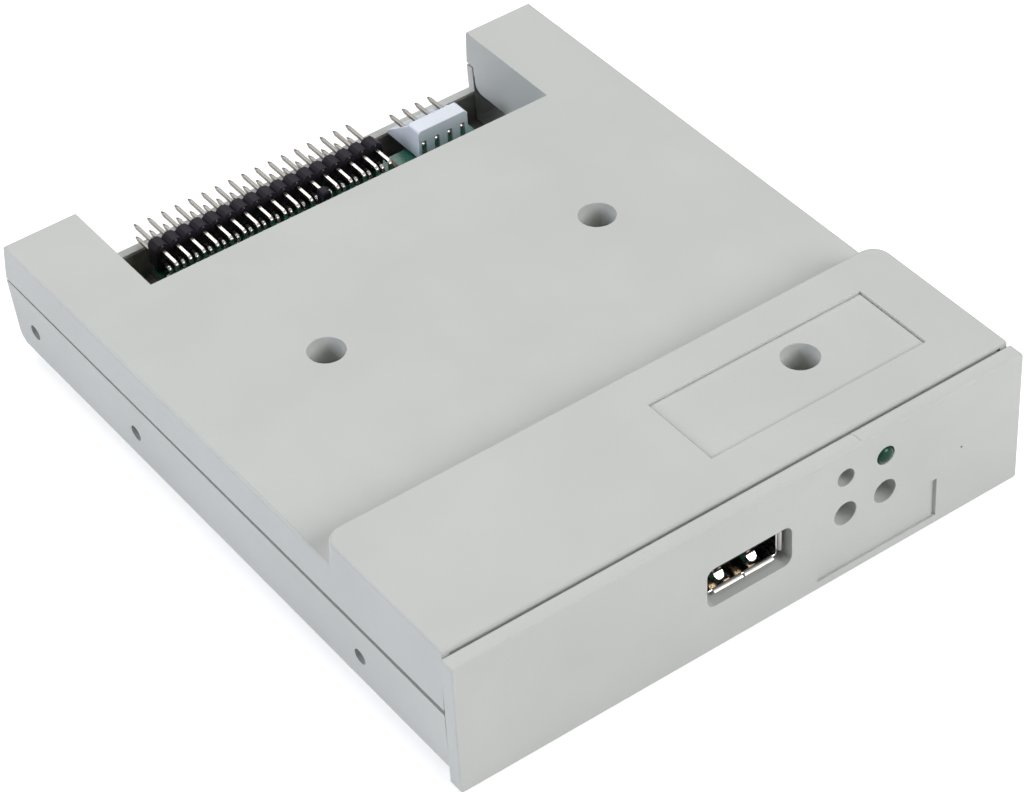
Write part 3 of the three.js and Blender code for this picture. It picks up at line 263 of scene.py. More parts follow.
@dataclass(frozen=True)
class PlatedMetal(Finish):
    """Drawn or stamped metal with a thin plating."""

    label: str
    colour: Colour
    tarnish: Colour
    roughness: float = 0.25
    streak: Point = (1.0, 1.0, 1.0)
    streak_per_mm: float = 6.0
    tarnish_share: float = 0.35
    grain_mm: float = 0.004
    # Painted shade: behind the place along Y given here the colour is darkened to the share that follows.
    shade_behind_y: float = 100.0
    shade_behind_share: float = 0.38

    def make(self) -> Bench:
        """Builds draw streaks, a patchy tarnish and a faint grain, with painted shade that darkens the colour
        behind a place along Y.
        """
        bench = Bench(self.label)
        streaks = bench.noise(self.streak_per_mm, 3.0, 0.6, self.streak)
        patch = bench.noise(0.9, 2.0)
        share = bench.remap(patch, 0.42, 0.7, 0.0, self.tarnish_share)
        body = bench.blend(share, self.colour, self.tarnish)
        # Painted shade: the colour darkens behind a place along Y, over 0.8 mm.
        tip_shade = bench.remap(bench.along("Y"), self.shade_behind_y * MM, (self.shade_behind_y + 0.8) * MM)
        body = bench.blend(tip_shade, body, tuple(c * self.shade_behind_share for c in self.colour))
        bench.link(body, bench.shader.inputs["Base Color"])
        rough = bench.remap(streaks, 0.3, 0.7, self.roughness * 0.75, self.roughness * 1.35)
        bench.link(rough, bench.shader.inputs["Roughness"])
        bench.link(bench.raise_by(streaks, self.grain_mm), bench.shader.inputs["Normal"])
        bench.plain(Metallic=1.0)
        return bench


CASE_GREY = MouldedPlastic("case_plastic", linear(203, 205, 201))
SMALL_BLACK = {"mottle": 0.12, "mottle_per_mm": 0.6, "roughness": 0.55, "grain_per_mm": 5.0, "specular": 0.14}
# The header's cells carry painted shade: below 12.95 mm their colour falls to 0.3 of itself, darkening their
# fronts and lower parts.
HEADER_BLACK = MouldedPlastic("header_plastic", linear(38, 35, 42), shade_below_z=12.95, **SMALL_BLACK)
CAP_BLACK = MouldedPlastic("cap_plastic", linear(36, 33, 40), **SMALL_BLACK)
# Painted highlight: light grey dots on the header's cells where their front chamfers catch the light.
HIGHLIGHT_DOT_GREY = MouldedPlastic("painted_highlight_dots", linear(104, 101, 106), mottle=0.1, mottle_per_mm=0.6,
                           grain_per_mm=5.0, grain_mm=0.004, specular=0.3)
PART_BROWN = MouldedPlastic("part_brown", linear(104, 62, 48), mottle=0.15, mottle_per_mm=0.6,
                            roughness=0.45, grain_per_mm=4.0, grain_mm=0.004, specular=0.4)
# Painted shade: a grey sheet on the tray floor and up the rear wall, darkening the notch round the header and
# inlet.
FILM_SHADE_GREY = MouldedPlastic("film_painted_shade", linear(142, 140, 136), mottle=0.2, mottle_per_mm=0.35,
                            grain_per_mm=6.0, grain_mm=0.003, specular=0.2)
BOX_BLACK = MouldedPlastic("switch_plastic", linear(34, 34, 36), mottle=0.1, mottle_per_mm=0.4,
                           grain_per_mm=5.0, grain_mm=0.01, specular=0.25)
SOCKET_BLACK = MouldedPlastic("socket_plastic", linear(24, 24, 26), mottle=0.1, mottle_per_mm=0.6,
                              roughness=0.45, grain_per_mm=5.0, grain_mm=0.008)
NYLON_WHITE = MouldedPlastic("white_nylon", linear(232, 237, 246), mottle=0.02, mottle_per_mm=0.3,
                             roughness=0.38, grain_per_mm=4.0, specular=0.45)
ALONG_X, ALONG_Y, ALONG_Z = (0.15, 1.0, 1.0), (1.0, 0.12, 1.0), (1.0, 1.0, 0.15)
# The pins carry painted shade: behind Y = 54 mm, past the header, their colour falls to 0.38 of itself.
PIN_TIN = PlatedMetal("pin_tin", (0.5, 0.475, 0.45), (0.33, 0.29, 0.26), streak=ALONG_Y, shade_behind_y=54.0)
SOLDER = PlatedMetal("solder", (0.6, 0.6, 0.6), (0.36, 0.35, 0.33), roughness=0.32, streak_per_mm=3.0)
SOCKET_STEEL = PlatedMetal("socket_steel", (0.9, 0.9, 0.9), (0.74, 0.72, 0.68), roughness=0.1, streak=ALONG_Z)
# The lips are the shell's steel painted darker, a painted shade that dims the lamp's highlight on them.
LIP_STEEL = PlatedMetal("lip_steel", (0.54, 0.53, 0.5), (0.44, 0.43, 0.4), roughness=0.4, streak=ALONG_X)
CAN_STEEL = PlatedMetal("can_steel", (0.8, 0.81, 0.82), (0.6, 0.58, 0.55), roughness=0.3, streak=ALONG_X)
SCREW_STEEL = PlatedMetal("screw_steel", (0.66, 0.66, 0.67), (0.4, 0.38, 0.34), roughness=0.34)
CONTACT_GOLD = PlatedMetal("contact_gold", (0.5, 0.38, 0.23), (0.28, 0.2, 0.12), roughness=0.3,
                           streak=ALONG_Y, tarnish_share=0.8)


@dataclass(frozen=True)
class SolderMask(Finish):
    """Green solder mask over copper tracks."""

    label: str = "board_mask"
    over_bare: Colour = linear(24, 104, 86)
    over_track: Colour = linear(40, 138, 112)
    laminate: Colour = linear(72, 88, 66)
    # Painted shade on the board under the header's legs: its colour and the corner where it starts.
    header_shade: Colour = linear(14, 48, 42)
    header_shade_right_x: float = 14.6
    header_shade_front_y: float = 46.0
    middle_z: float = 8.4
    half_core: float = 0.7
    track_per_mm: float = 0.42

    def make(self) -> Bench:
        """Builds straight track bands, raised a little, under a glossy mask, with spotty painted shade on the
        board under the header.
        """
        bench = Bench(self.label)
        bricks = bench.node("ShaderNodeTexBrick")
        gap, track = (0, 0, 0, 1), (1, 1, 1, 1)
        bench.set_up(bricks, Scale=self.track_per_mm / MM, Mortar_Size=0.11, Mortar_Smooth=0.15,
                     Brick_Width=3.4, Row_Height=0.46, Color1=gap, Color2=gap, Mortar=track)
        bench.link(bench.place, bricks.inputs["Vector"])
        tracks = bricks.outputs["Color"]
        patch = bench.remap(bench.noise(0.1, 1.0), 0.46, 0.54)
        shown = bench.math("MULTIPLY", tracks, patch)
        mask = bench.blend(shown, self.over_bare, self.over_track)
        # Painted shade: left of 14.6 mm and behind 46 mm the mask darkens in spots, where the header shades
        # the board.
        near = bench.math("MULTIPLY", bench.math("LESS_THAN", bench.along("X"), self.header_shade_right_x * MM),
                          bench.math("GREATER_THAN", bench.along("Y"), self.header_shade_front_y * MM))
        spots = bench.remap(bench.noise(1.6, 2.0), 0.35, 0.6, 1.0, 0.45)
        mask = bench.blend(bench.math("MULTIPLY", near, spots), mask, self.header_shade)
        from_middle = bench.math("ABSOLUTE", bench.math("SUBTRACT", bench.along("Z"), self.middle_z * MM))
        core = bench.math("LESS_THAN", from_middle, self.half_core * MM)
        bench.link(bench.blend(core, mask, self.laminate), bench.shader.inputs["Base Color"])
        bench.link(bench.raise_by(shown, 0.035), bench.shader.inputs["Normal"])
        wave = bench.noise(1.2, 2.0)
        bench.link(bench.remap(wave, 0.3, 0.7, 0.22, 0.36), bench.shader.inputs["Roughness"])
        bench.plain(Specular_IOR_Level=0.5)
        return bench


@dataclass(frozen=True)
class TintedLens(Finish):
    """Clear tinted epoxy of the lamp."""

    label: str = "green_lens"
    tint: Colour = linear(8, 74, 54)

    def make(self) -> Bench:
        """Builds a glossy, partly clear green body."""
        bench = Bench(self.label)
        cloud = bench.noise(0.8, 2.0)
        deep = tuple(c * 0.5 for c in self.tint)
        body = bench.blend(bench.remap(cloud, 0.3, 0.7), deep, self.tint)
        bench.link(body, bench.shader.inputs["Base Color"])
        bench.plain(Roughness=0.1, IOR=1.5, Specular_IOR_Level=0.25, Subsurface_Weight=0.2,
                    Subsurface_Scale=0.0006)
        return bench


MASK = SolderMask()
LENS = TintedLens()


def clear_selection() -> None:
    """Leaves edit mode and deselects everything."""
    if bpy.context.object and bpy.context.object.mode != "OBJECT":
        bpy.ops.object.mode_set(mode="OBJECT")
    bpy.ops.object.select_all(action="DESELECT")


def take(piece: bpy.types.Object) -> None:
    """Makes a piece the only selected and active one."""
    clear_selection()
    piece.select_set(True)
    bpy.context.view_layer.objects.active = piece


def settle(piece: bpy.types.Object) -> None:
    """Applies a piece's place, turn and size to its mesh."""
    take(piece)
    bpy.ops.object.transform_apply(location=True, rotation=True, scale=True)


def named(name: str) -> bpy.types.Object:
    """Names the active piece and its mesh, with its place in its mesh."""
    piece = bpy.context.object
    piece.name = name
    piece.data.name = name
    settle(piece)
    return piece


def block(name: str, low: Point, high: Point) -> bpy.types.Object:
    """Adds a box between two corners in millimetres."""
    clear_selection()
    centre = [(a + b) / 2 * MM for a, b in zip(low, high)]
    bpy.ops.mesh.primitive_cube_add(size=1, location=centre)
    bpy.context.object.scale = [(b - a) * MM for a, b in zip(low, high)]
    return named(name)


def rod(name: str, centre: Point, radius: float, length: float, sides: int) -> bpy.types.Object:
    """Adds a round bar along Y.

    Args:
        name: Name of the piece.
        centre: Middle of the bar in millimetres.
        radius: Radius in millimetres.
        length: Length in millimetres.
        sides: Number of sides.

    Returns:
        The new piece.
    """
    clear_selection()
    bpy.ops.mesh.primitive_cylinder_add(
        vertices=sides, radius=radius * MM, depth=length * MM,
        location=[c * MM for c in centre], rotation=(math.pi / 2, 0.0, 0.0))
    return named(name)


def select_faces(piece: bpy.types.Object, test: FaceTest) -> None:
    """Selects the faces whose centre in millimetres and normal pass a test, and enters edit mode."""
    take(piece)
    bpy.ops.object.mode_set(mode="EDIT")
    bpy.ops.mesh.select_mode(type="FACE")
    bpy.ops.mesh.select_all(action="DESELECT")
    bpy.ops.object.mode_set(mode="OBJECT")
    for face in piece.data.polygons:
        face.select = bool(test(face.center / MM, face.normal))
    bpy.ops.object.mode_set(mode="EDIT")


def facing(axis: str, way: int = 1) -> FaceTest:
    """Returns the test for faces that look along an axis, or against it with a way of -1."""
    return lambda centre, normal: getattr(normal, axis) * way > FACING


def leave_edit() -> None:
    """Goes back to object mode."""
    bpy.ops.object.mode_set(mode="OBJECT")


def round_edges(piece: bpy.types.Object, width: float, segments: int = 2, limit: float = 40.0,
                smooth: float = 40.0, clamp: bool = True) -> None:
    """Bevels sharp edges and smooths the rest.

    Args:
        piece: The piece to finish.
        width: Width of the rounding in millimetres.
        segments: Steps of the rounding.
        limit: Only edges sharper than this many degrees are rounded.
        smooth: Edges flatter than this many degrees shade smoothly.
        clamp: Keeps the rounding from crossing itself.
    """
    take(piece)
    edge = piece.modifiers.new("rounding", "BEVEL")
    edge.width = width * MM
    edge.segments = segments
    edge.limit_method = "ANGLE"
    edge.angle_limit = math.radians(limit)
    edge.use_clamp_overlap = clamp
    bpy.ops.object.modifier_apply(modifier=edge.name)
    even_out(piece, smooth)


def even_out(piece: bpy.types.Object, smooth: float) -> None:
    """Smooths edges flatter than an angle in degrees, and lets large flat faces shade flat."""
    take(piece)
    bpy.ops.mesh.customdata_custom_splitnormals_clear()
    bpy.ops.object.shade_smooth_by_angle(angle=math.radians(smooth))
    level = piece.modifiers.new("flat_normals", "WEIGHTED_NORMAL")
    level.keep_sharp = True
    level.weight = 100
    bpy.ops.object.modifier_apply(modifier=level.name)


def extrude_faces(piece: bpy.types.Object, test: FaceTest, move: Point,
                  size: Point = (1.0, 1.0, 1.0)) -> None:
    """Extrudes the faces that pass a test, and resizes the new end about its middle.

    Args:
        piece: The piece to shape.
        test: Says from a face's centre in millimetres and its normal whether it is taken.
        move: Way of the extrusion in millimetres.
        size: Scale of the new end along each axis.
    """
    select_faces(piece, test)
    bpy.ops.mesh.extrude_region_move(TRANSFORM_OT_translate={"value": [c * MM for c in move]})
    resize_selection(piece, size)
    leave_edit()


def resize_selection(piece: bpy.types.Object, size: Point) -> None:
    """Resizes the selected faces about their middle, in edit mode."""
    piece.update_from_editmode()
    centres = [face.center for face in piece.data.polygons if face.select]
    if centres:
        middle = sum(centres, Vector()) / len(centres)
        bpy.ops.transform.resize(value=size, center_override=middle)


def spin_faces(piece: bpy.types.Object, test: FaceTest, centre: Point, axis: Point, degrees: float,
               steps: int = 6) -> None:
    """Sweeps the faces that pass a test round an axis through a centre in millimetres."""
    select_faces(piece, test)
    bpy.ops.mesh.spin(steps=steps, angle=math.radians(degrees), center=[c * MM for c in centre], axis=axis)
    leave_edit()
    face_outwards(piece)


def face_outwards(piece: bpy.types.Object) -> None:
    """Turns every face of a piece outwards."""
    take(piece)
    bpy.ops.object.mode_set(mode="EDIT")
    bpy.ops.mesh.select_all(action="SELECT")
    bpy.ops.mesh.normals_make_consistent(inside=False)
    leave_edit()


def cut_across(piece: bpy.types.Object, places: Iterable[float], axis: int) -> None:
    """Adds a ring of edges to a piece at each place along an axis, in millimetres."""
    take(piece)
    bpy.ops.object.mode_set(mode="EDIT")
    for place in places:
        bpy.ops.mesh.select_all(action="SELECT")
        point, normal = [0.0] * 3, [0.0] * 3
        point[axis], normal[axis] = place * MM, 1.0
        bpy.ops.mesh.bisect(plane_co=point, plane_no=normal)
    leave_edit()


def shift_points(piece: bpy.types.Object, test: Callable[[Vector], bool], move: Point) -> None:
    """Moves the points that pass a test, both in millimetres."""
    take(piece)
    bpy.ops.object.mode_set(mode="EDIT")
    bpy.ops.mesh.select_mode(type="VERT")
    bpy.ops.mesh.select_all(action="DESELECT")
    leave_edit()
    for point in piece.data.vertices:
        point.select = bool(test(point.co / MM))
    bpy.ops.object.mode_set(mode="EDIT")
    bpy.ops.transform.translate(value=[c * MM for c in move])
    leave_edit()


def round_corners(piece: bpy.types.Object, test: FaceTest, radius: float, segments: int = 4) -> None:
    """Rounds the edges whose middle in millimetres and direction pass a test."""
    take(piece)
    bpy.ops.object.mode_set(mode="EDIT")
    bpy.ops.mesh.select_mode(type="EDGE")
    bpy.ops.mesh.select_all(action="DESELECT")
    leave_edit()
    points = piece.data.vertices
    for edge in piece.data.edges:
        first, last = (points[index].co / MM for index in edge.vertices)
        edge.select = bool(test((first + last) / 2, (last - first).normalized()))
    bpy.ops.object.mode_set(mode="EDIT")
    bpy.ops.mesh.bevel(offset=radius * MM, segments=segments, affect="EDGES")
    leave_edit()


def copy_of(piece: bpy.types.Object, name: str, move: Point) -> bpy.types.Object:
    """Copies a finished piece with a mesh of its own, and moves the copy by millimetres."""
    take(piece)
    bpy.ops.object.duplicate()
    bpy.ops.transform.translate(value=[c * MM for c in move])
    return named(name)


def carve(piece: bpy.types.Object, tools: Iterable[bpy.types.Object]) -> None:
    """Cuts tools out of a piece and removes the tools."""
    for tool in tools:
        take(piece)
        cutter = piece.modifiers.new("carving", "BOOLEAN")
        cutter.operation = "DIFFERENCE"
        cutter.solver = "EXACT"
        cutter.object = tool
        bpy.ops.object.modifier_apply(modifier=cutter.name)
        bpy.data.objects.remove(tool, do_unlink=True)
    face_outwards(piece)


def fuse(name: str, parts: list[bpy.types.Object]) -> bpy.types.Object:
    """Joins several meshes into one piece without cutting them."""
    clear_selection()
    for part in parts:
        part.select_set(True)
    bpy.context.view_layer.objects.active = parts[0]
    bpy.ops.object.join()
    return named(name)


def dress(piece: bpy.types.Object, finish: Finish) -> None:
    """Gives a piece one finish all over."""
    piece.data.materials.clear()
    piece.data.materials.append(finish.material())
    for face in piece.data.polygons:
        face.material_index = 0


def fit(piece: bpy.types.Object, finish: Finish, slot: str, *nodes: str, body: str = HOUSING) -> None:
    """Dresses a new piece, puts it on its body and hides the CAD nodes that it stands for.

    Args:
        piece: The new piece.
        finish: Its finish.
        slot: Not used.
        nodes: CAD nodes that it stands for.
        body: The CAD body that it moves with.
    """
    dress(piece, finish)
    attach(piece, body)
    if nodes:
        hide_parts(*nodes)
    log.info("%s: %d faces on %s", piece.name, len(piece.data.polygons), body)


def dress_node(node: str, finish: Finish) -> None:
    """Gives a carried-over CAD node its finish."""
    materials = frame["nodes"][node].data.materials
    materials.clear()
    materials.append(finish.material())
    log.info("%s: kept, %s", node, finish.label)


def softened_copy(node: str, name: str, width: float, segments: int = 2,
                  merge: float = 0.002) -> bpy.types.Object:
    """Copies a CAD node, merges it and rounds its sharp edges.

    Args:
        node: The CAD node.
        name: Name of the copy.
        width: Width of the rounding in millimetres.
        segments: Steps of the rounding.
        merge: Points nearer than this many millimetres become one.

    Returns:
        The copy, free of the CAD body.
    """
    take(frame["nodes"][node])
    bpy.ops.object.duplicate()
    piece = bpy.context.object
    bpy.ops.object.parent_clear(type="CLEAR_KEEP_TRANSFORM")
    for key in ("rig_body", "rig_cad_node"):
        if key in piece:
            del piece[key]
    piece.name = name
    piece.data.name = name
    bpy.ops.object.mode_set(mode="EDIT")
    bpy.ops.mesh.select_mode(type="VERT")
    bpy.ops.mesh.select_all(action="SELECT")
    bpy.ops.mesh.remove_doubles(threshold=merge * MM)
    bpy.ops.mesh.dissolve_limited(angle_limit=math.radians(FLAT_DEGREES))
    bpy.ops.mesh.quads_convert_to_tris(quad_method="BEAUTY", ngon_method="BEAUTY")
    bpy.ops.object.mode_set(mode="OBJECT")
    round_edges(piece, width, segments, limit=60.0, smooth=50.0, clamp=False)
    return piece


@dataclass
class Case:
    """The two grey mouldings and a grey sheet under the board whose colour is painted shade in the notch; a
    moat is a width and a depth.
    """

    cover_rounding: float = 0.1
    tray_rounding: float = 0.08
    tray_merge: float = 0.06
    label_low: Point = (1.4, -50.0, 24.55)
    label_high: tuple[float, float] = (41.1, -35.3)
    pit_place: Point = (39.5, -60.2, 12.4)
    pit_radius: float = 0.2
    panel_line_low: Point = (12.6, -59.96, 1.36)
    panel_line_high: Point = (34.6, -59.86, 1.6)
    flow_mark: Point = (20.5, -59.7, 24.12)
    flow_mark_size: Point = (0.09, 1.1, 0.2)
    flow_mark_radius: float = 1.0
    flow_mark_bend: float = 60.0
    rear_moat: tuple[float, float] = (0.12, 0.16)
    right_moat: tuple[float, float] = (0.2, 0.26)
    left_moat: tuple[float, float] = (0.3, 0.05)
    flat_degrees: float = 20.0
    seam_low: Point = (-49.0, -57.6, 23.4)
    seam_high: Point = (49.0, -56.75, 24.22)
    film_low: Point = (-37.3, 30.0, 3.93)
    film_high: Point = (37.3, 58.3, 4.08)
    flap_top: float = 9.15
    flap_lean: float = 0.26
    rib_low: Point = (-19.4, 41.6, 3.0)
    rib_high: Point = (19.4, 44.8, 5.0)
    film_corner: float = 2.0
    film_fold: float = 0.12
    film_edge: float = 0.04
    overrun: float = 0.1

    def build(self) -> None:
        """Rounds both mouldings, sharpens their sunk panels and lays the film in."""
        tray = softened_copy("bottom_case", "bottom_case_moulding", self.tray_rounding, merge=self.tray_merge)
        carve(tray, self.bezel_tools())
        even_out(tray, self.flat_degrees)
        fit(tray, CASE_GREY, "case_plastic", "bottom_case")
        cover = softened_copy("top_cover", "top_cover_moulding", self.cover_rounding)
        carve(cover, self.cover_tools())
        even_out(cover, self.flat_degrees)
        fit(cover, CASE_GREY, "case_plastic", "top_cover")
        self.film()

    def bezel_tools(self) -> list[bpy.types.Object]:
        """Makes the cutters of the bezel: a pit, the panel's lower line and a flow mark on the edge."""
        pit = rod("pit", self.pit_place, self.pit_radius, self.pit_radius * 3, 12)
        line = block("panel_line", self.panel_line_low, self.panel_line_high)
        x, y, z = self.flow_mark
        width, length, height = self.flow_mark_size
        mark = block("flow_mark", (x, y, z), (x + width, y + length, z + height))
        spin_faces(mark, facing("y"), (x - self.flow_mark_radius, y + length, z), (0, 0, 1),
                   -self.flow_mark_bend)
        return [pit, line, mark]

    def cover_tools(self) -> list[bpy.types.Object]:
        """Makes the cutters of the moat round the label's recess and of the seam behind the bezel."""
        left, front, floor_z = self.label_low
        right, rear = self.label_high
        moats = (((left, rear - self.rear_moat[0]), (right, rear), self.rear_moat[1]),
                 ((right - self.right_moat[0], front), (right, rear), self.right_moat[1]),
                 ((left, front), (left + self.left_moat[0], rear), self.left_moat[1]))
        seam = block("seam", self.seam_low, self.seam_high)
        return [seam, *(block("moat", (*low, floor_z - depth), (*high, floor_z + self.overrun))
                        for low, high, depth in moats)]

    def film(self) -> None:
        """Folds the grey sheet of painted shade up the rear wall and cuts it round the tray's rib."""
        # Painted shade: this sheet darkens the notch's floor and rear wall.
        film = block("film_shade_sheet", self.film_low, self.film_high)
        _, y, z = self.film_high
        extrude_faces(film, facing("y"), (0, self.film_fold, 0))
        extrude_faces(film, lambda centre, normal: normal.z > FACING and centre.y > y,
                      (0, self.flap_lean, self.flap_top - z))
        round_corners(film, lambda middle, way: abs(way.z) > FACING and middle.y < self.film_low[1] + NEAR,
                      self.film_corner)
        carve(film, [block("rib_slot", self.rib_low, self.rib_high)])
        round_edges(film, self.film_edge, segments=1)
        fit(film, FILM_SHADE_GREY, "header_plastic")


def angle_pin(name: str, size: float, tail_y: float, row_z: float, tip_y: float, tail_z: float,
              bend: float = 0.7, taper: float = 0.9, tip_share: float = 0.42,
              edge: float = 0.06) -> bpy.types.Object:
    """Models a bent square pin in the plane of X = 0.

    Args:
        name: Name of the piece.
        size: Width of the wire in millimetres.
        tail_y: Middle of the tail.
        row_z: Middle of the straight leg.
        tip_y: Rear end of the leg.
        tail_z: Lower end of the tail.
        bend: Radius of the bend at the wire's middle.
        taper: Length of each tapered end.
        tip_share: Width of each end as a share of the wire's.
        edge: Width of the rounding of its edges.

    Returns:
        The new piece.
    """
    half = size / 2
    pin = block(name, (-half, tail_y + bend, row_z - half), (half, tip_y - taper, row_z + half))
    extrude_faces(pin, facing("y"), (0, taper, 0), (tip_share, 1, tip_share))
    knee_z = row_z - bend
    spin_faces(pin, facing("y", -1), (0, tail_y + bend, knee_z), (1, 0, 0), -90)
    extrude_faces(pin, lambda centre, normal: normal.z < -FACING and abs(centre.z - knee_z) < NEAR,
                  (0, 0, tail_z + taper - knee_z))
    extrude_faces(pin, lambda centre, normal: normal.z < -FACING and abs(centre.z - tail_z - taper) < NEAR,
                  (0, 0, -taper), (tip_share, tip_share, 1))
    round_edges(pin, edge, limit=50.0, smooth=60.0)
    return pin


@dataclass
class Board:
    """The circuit board, what is soldered to it, and the case screws."""

    top_z: float = 9.2
    screws: int = 3
    fillet_radius: float = 0.82
    fillet_height: float = 0.4
    chip_low: Point = (14.75, 49.3, 9.2)
    chip_high: Point = (15.5, 51.4, 10.3)
    chip_crown: float = 0.12
    chip_edge: float = 0.1
    package_edge: float = 0.08
    screw_edge: float = 0.06
    fillet_edge: float = 0.05
    chip_crown_shares: Point = (0.7, 0.86, 1.0)
    fillet_shares: tuple[float, float] = (0.62, 0.7)

    def build(self) -> None:
        """Dresses the board and rounds its inner parts and the screws."""
        dress_node("main_board", MASK)
        for node, finish, slot in (("controller_chip", BOX_BLACK, "chip_plastic"),
                                   ("regulator", BOX_BLACK, "chip_plastic"),
                                   ("crystal", CAN_STEEL, "can_metal")):
            fit(softened_copy(node, f"{node}_package", self.package_edge), finish, slot, node)
        for index in range(self.screws):
            node = f"cover_screw_{index + 1}"
            fit(softened_copy(node, f"{node}_head", self.screw_edge), SCREW_STEEL, "screw_steel", node)
        small = block("brown_chip_part", self.chip_low, self.chip_high)
        extrude_faces(small, facing("z"), (0, 0, self.chip_crown), self.chip_crown_shares)
        round_edges(small, self.chip_edge)
        fit(small, PART_BROWN, "chip_plastic")

    def solder(self, name: str, places: list[tuple[float, float]]) -> None:
        """Puts a solder fillet round each tail.

        Args:
            name: Start of the pieces' names.
            places: X and Y of the tails.
        """
        waist, top = self.fillet_shares
        rise = self.fillet_height / 2
        clear_selection()
        bpy.ops.mesh.primitive_cone_add(
            vertices=16, radius1=self.fillet_radius * MM, radius2=self.fillet_radius * waist * MM,
            depth=rise * MM, location=(0, 0, (self.top_z + rise / 2) * MM))
        fillet = named(name)
        extrude_faces(fillet, facing("z"), (0, 0, rise), (top, top, 1.0))
        round_edges(fillet, self.fillet_edge, segments=1, limit=20.0, smooth=80.0)
        for index, (x, y) in enumerate(places):
            fit(copy_of(fillet, f"{name}_{index + 1:02d}", (x, y, 0)), SOLDER, "pin_metal")
        bpy.data.objects.remove(fillet, do_unlink=True)


@dataclass
class Header:
    """The two-row header, with its bent pins."""

    columns: int = 17
    pitch: float = 2.54
    centre_x: float = -7.3
    front_y: float = 51.91
    rear_y: float = 54.45
    low_z: float = 9.29
    chamfer: float = 0.68
    pin: float = 0.58
    tip_y: float = 60.6
    tail_z: float = 6.4
    reach: float = 1.65
    cap_low: Point = (-0.8, 46.95, 9.35)
    cap_high: Point = (0.7, 49.0, 13.6)
    cap_column: int = 11
    cap_crown: float = 0.25
    cap_edge: float = 0.12
    cap_crown_share: float = 0.75
    hole_gap: float = 0.1
    # A short grey rod on each cell's front, a painted highlight dot.
    highlight_dot_radius: float = 0.17
    highlight_dot_length: float = 0.3
    highlight_dot_below_top: float = 0.28
    highlight_dot_sunk: float = 0.05
    highlight_dot_edge: float = 0.06
    cell_edge: float = 0.09
    overrun: float = 1.0

    def build(self) -> None:
        """Models the strip cell by cell, then both rows of pins."""
        places = [self.centre_x + (n - (self.columns - 1) / 2) * self.pitch for n in range(self.columns)]
        self.strip(places)
        lower_y = self.front_y - self.reach
        rows = (("upper", lower_y - self.pitch, self.low_z + 1.5 * self.pitch),
                ("lower", lower_y, self.low_z + 0.5 * self.pitch))
        for row, tail_y, row_z in rows:
            first = angle_pin(f"{row}_pin", self.pin, tail_y, row_z, self.tip_y, self.tail_z)
            for index, x in enumerate(places):
                node = f"header_pin_{row}_{index + 1:02d}"
                fit(copy_of(first, f"{node}_wire", (x, 0, 0)), PIN_TIN, "pin_metal", node)
            bpy.data.objects.remove(first, do_unlink=True)
            Board().solder(f"solder_{row}", [(x, tail_y) for x in places])
        self.pin_cap(places[self.cap_column])

    def strip(self, places: list[float]) -> None:
        """Models one chamfered cell with a grey dot of painted highlight and its holes, and copies it along
        the row.
        """
        half = self.pitch / 2
        top_z = self.low_z + self.pitch * 2
        cell = block("cell", (-half, self.front_y, self.low_z), (half, self.rear_y, top_z))
        round_corners(cell, lambda middle, way: abs(way.y) > FACING, self.chamfer, 1)
        hole = self.pin / 2 + self.hole_gap
        front, rear = self.front_y - self.overrun, self.rear_y + self.overrun
        for row in range(2):
            z = self.low_z + self.pitch * (row + 0.5)
            carve(cell, [block("hole", (-hole, front, z - hole), (hole, rear, z + hole))])
        round_edges(cell, self.cell_edge, limit=30.0)
        # Painted highlight: a light grey dot near the top of each cell's front.
        highlight_dot = rod("highlight_dot", (0, self.front_y + self.highlight_dot_sunk, top_z - self.highlight_dot_below_top), self.highlight_dot_radius,
                   self.highlight_dot_length, 10)
        round_edges(highlight_dot, self.highlight_dot_edge)
        self.row_of("header_strip", cell, places, HEADER_BLACK, "header_housing")
        self.row_of("header_highlight_dots", highlight_dot, places, HIGHLIGHT_DOT_GREY)

    def row_of(self, name: str, cell: bpy.types.Object, places: list[float], finish: Finish,
               *nodes: str) -> None:
        """Copies one cell to each place along X and joins the copies into one piece."""
        cells = [copy_of(cell, f"{name}_{index}", (x, 0, 0)) for index, x in enumerate(places)]
        bpy.data.objects.remove(cell, do_unlink=True)
        fit(fuse(name, cells), finish, "header_plastic", *nodes)

    def pin_cap(self, x: float) -> None:
        """Puts the small black block over the bend of one upper pin."""
        low, high = self.cap_low, self.cap_high
        cap = block("pin_cap", (x + low[0], *low[1:]), (x + high[0], *high[1:]))
        share = self.cap_crown_share
        extrude_faces(cap, facing("z"), (0, 0, self.cap_crown), (share, share, 1.0))
        round_edges(cap, self.cap_edge)
        fit(cap, CAP_BLACK, "header_plastic")


@dataclass
class PowerInlet:
    """The four-way power inlet."""

    pins: int = 4
    edge: float = 0.14
    pitch: float = 2.54
    centre_x: float = 24.45
    pin: float = 0.58
    tail_y: float = 49.39
    row_z: float = 12.35
    tip_y: float = 59.1
    tail_z: float = 6.4

    def build(self) -> None:
        """Rounds the block and models its pins."""
        fit(softened_copy("power_housing", "power_housing_moulding", self.edge, 3), NYLON_WHITE,
            "white_nylon", "power_housing")
        first = angle_pin("power_pin", self.pin, self.tail_y, self.row_z, self.tip_y, self.tail_z)
        places = [self.centre_x + (n - (self.pins - 1) / 2) * self.pitch for n in range(self.pins)]
        for index, x in enumerate(places):
            node = f"power_pin_{index + 1}"
            fit(copy_of(first, f"{node}_wire", (x, 0, 0)), PIN_TIN, "pin_metal", node)
        bpy.data.objects.remove(first, do_unlink=True)
        Board().solder("solder_power", [(x, self.tail_y) for x in places])


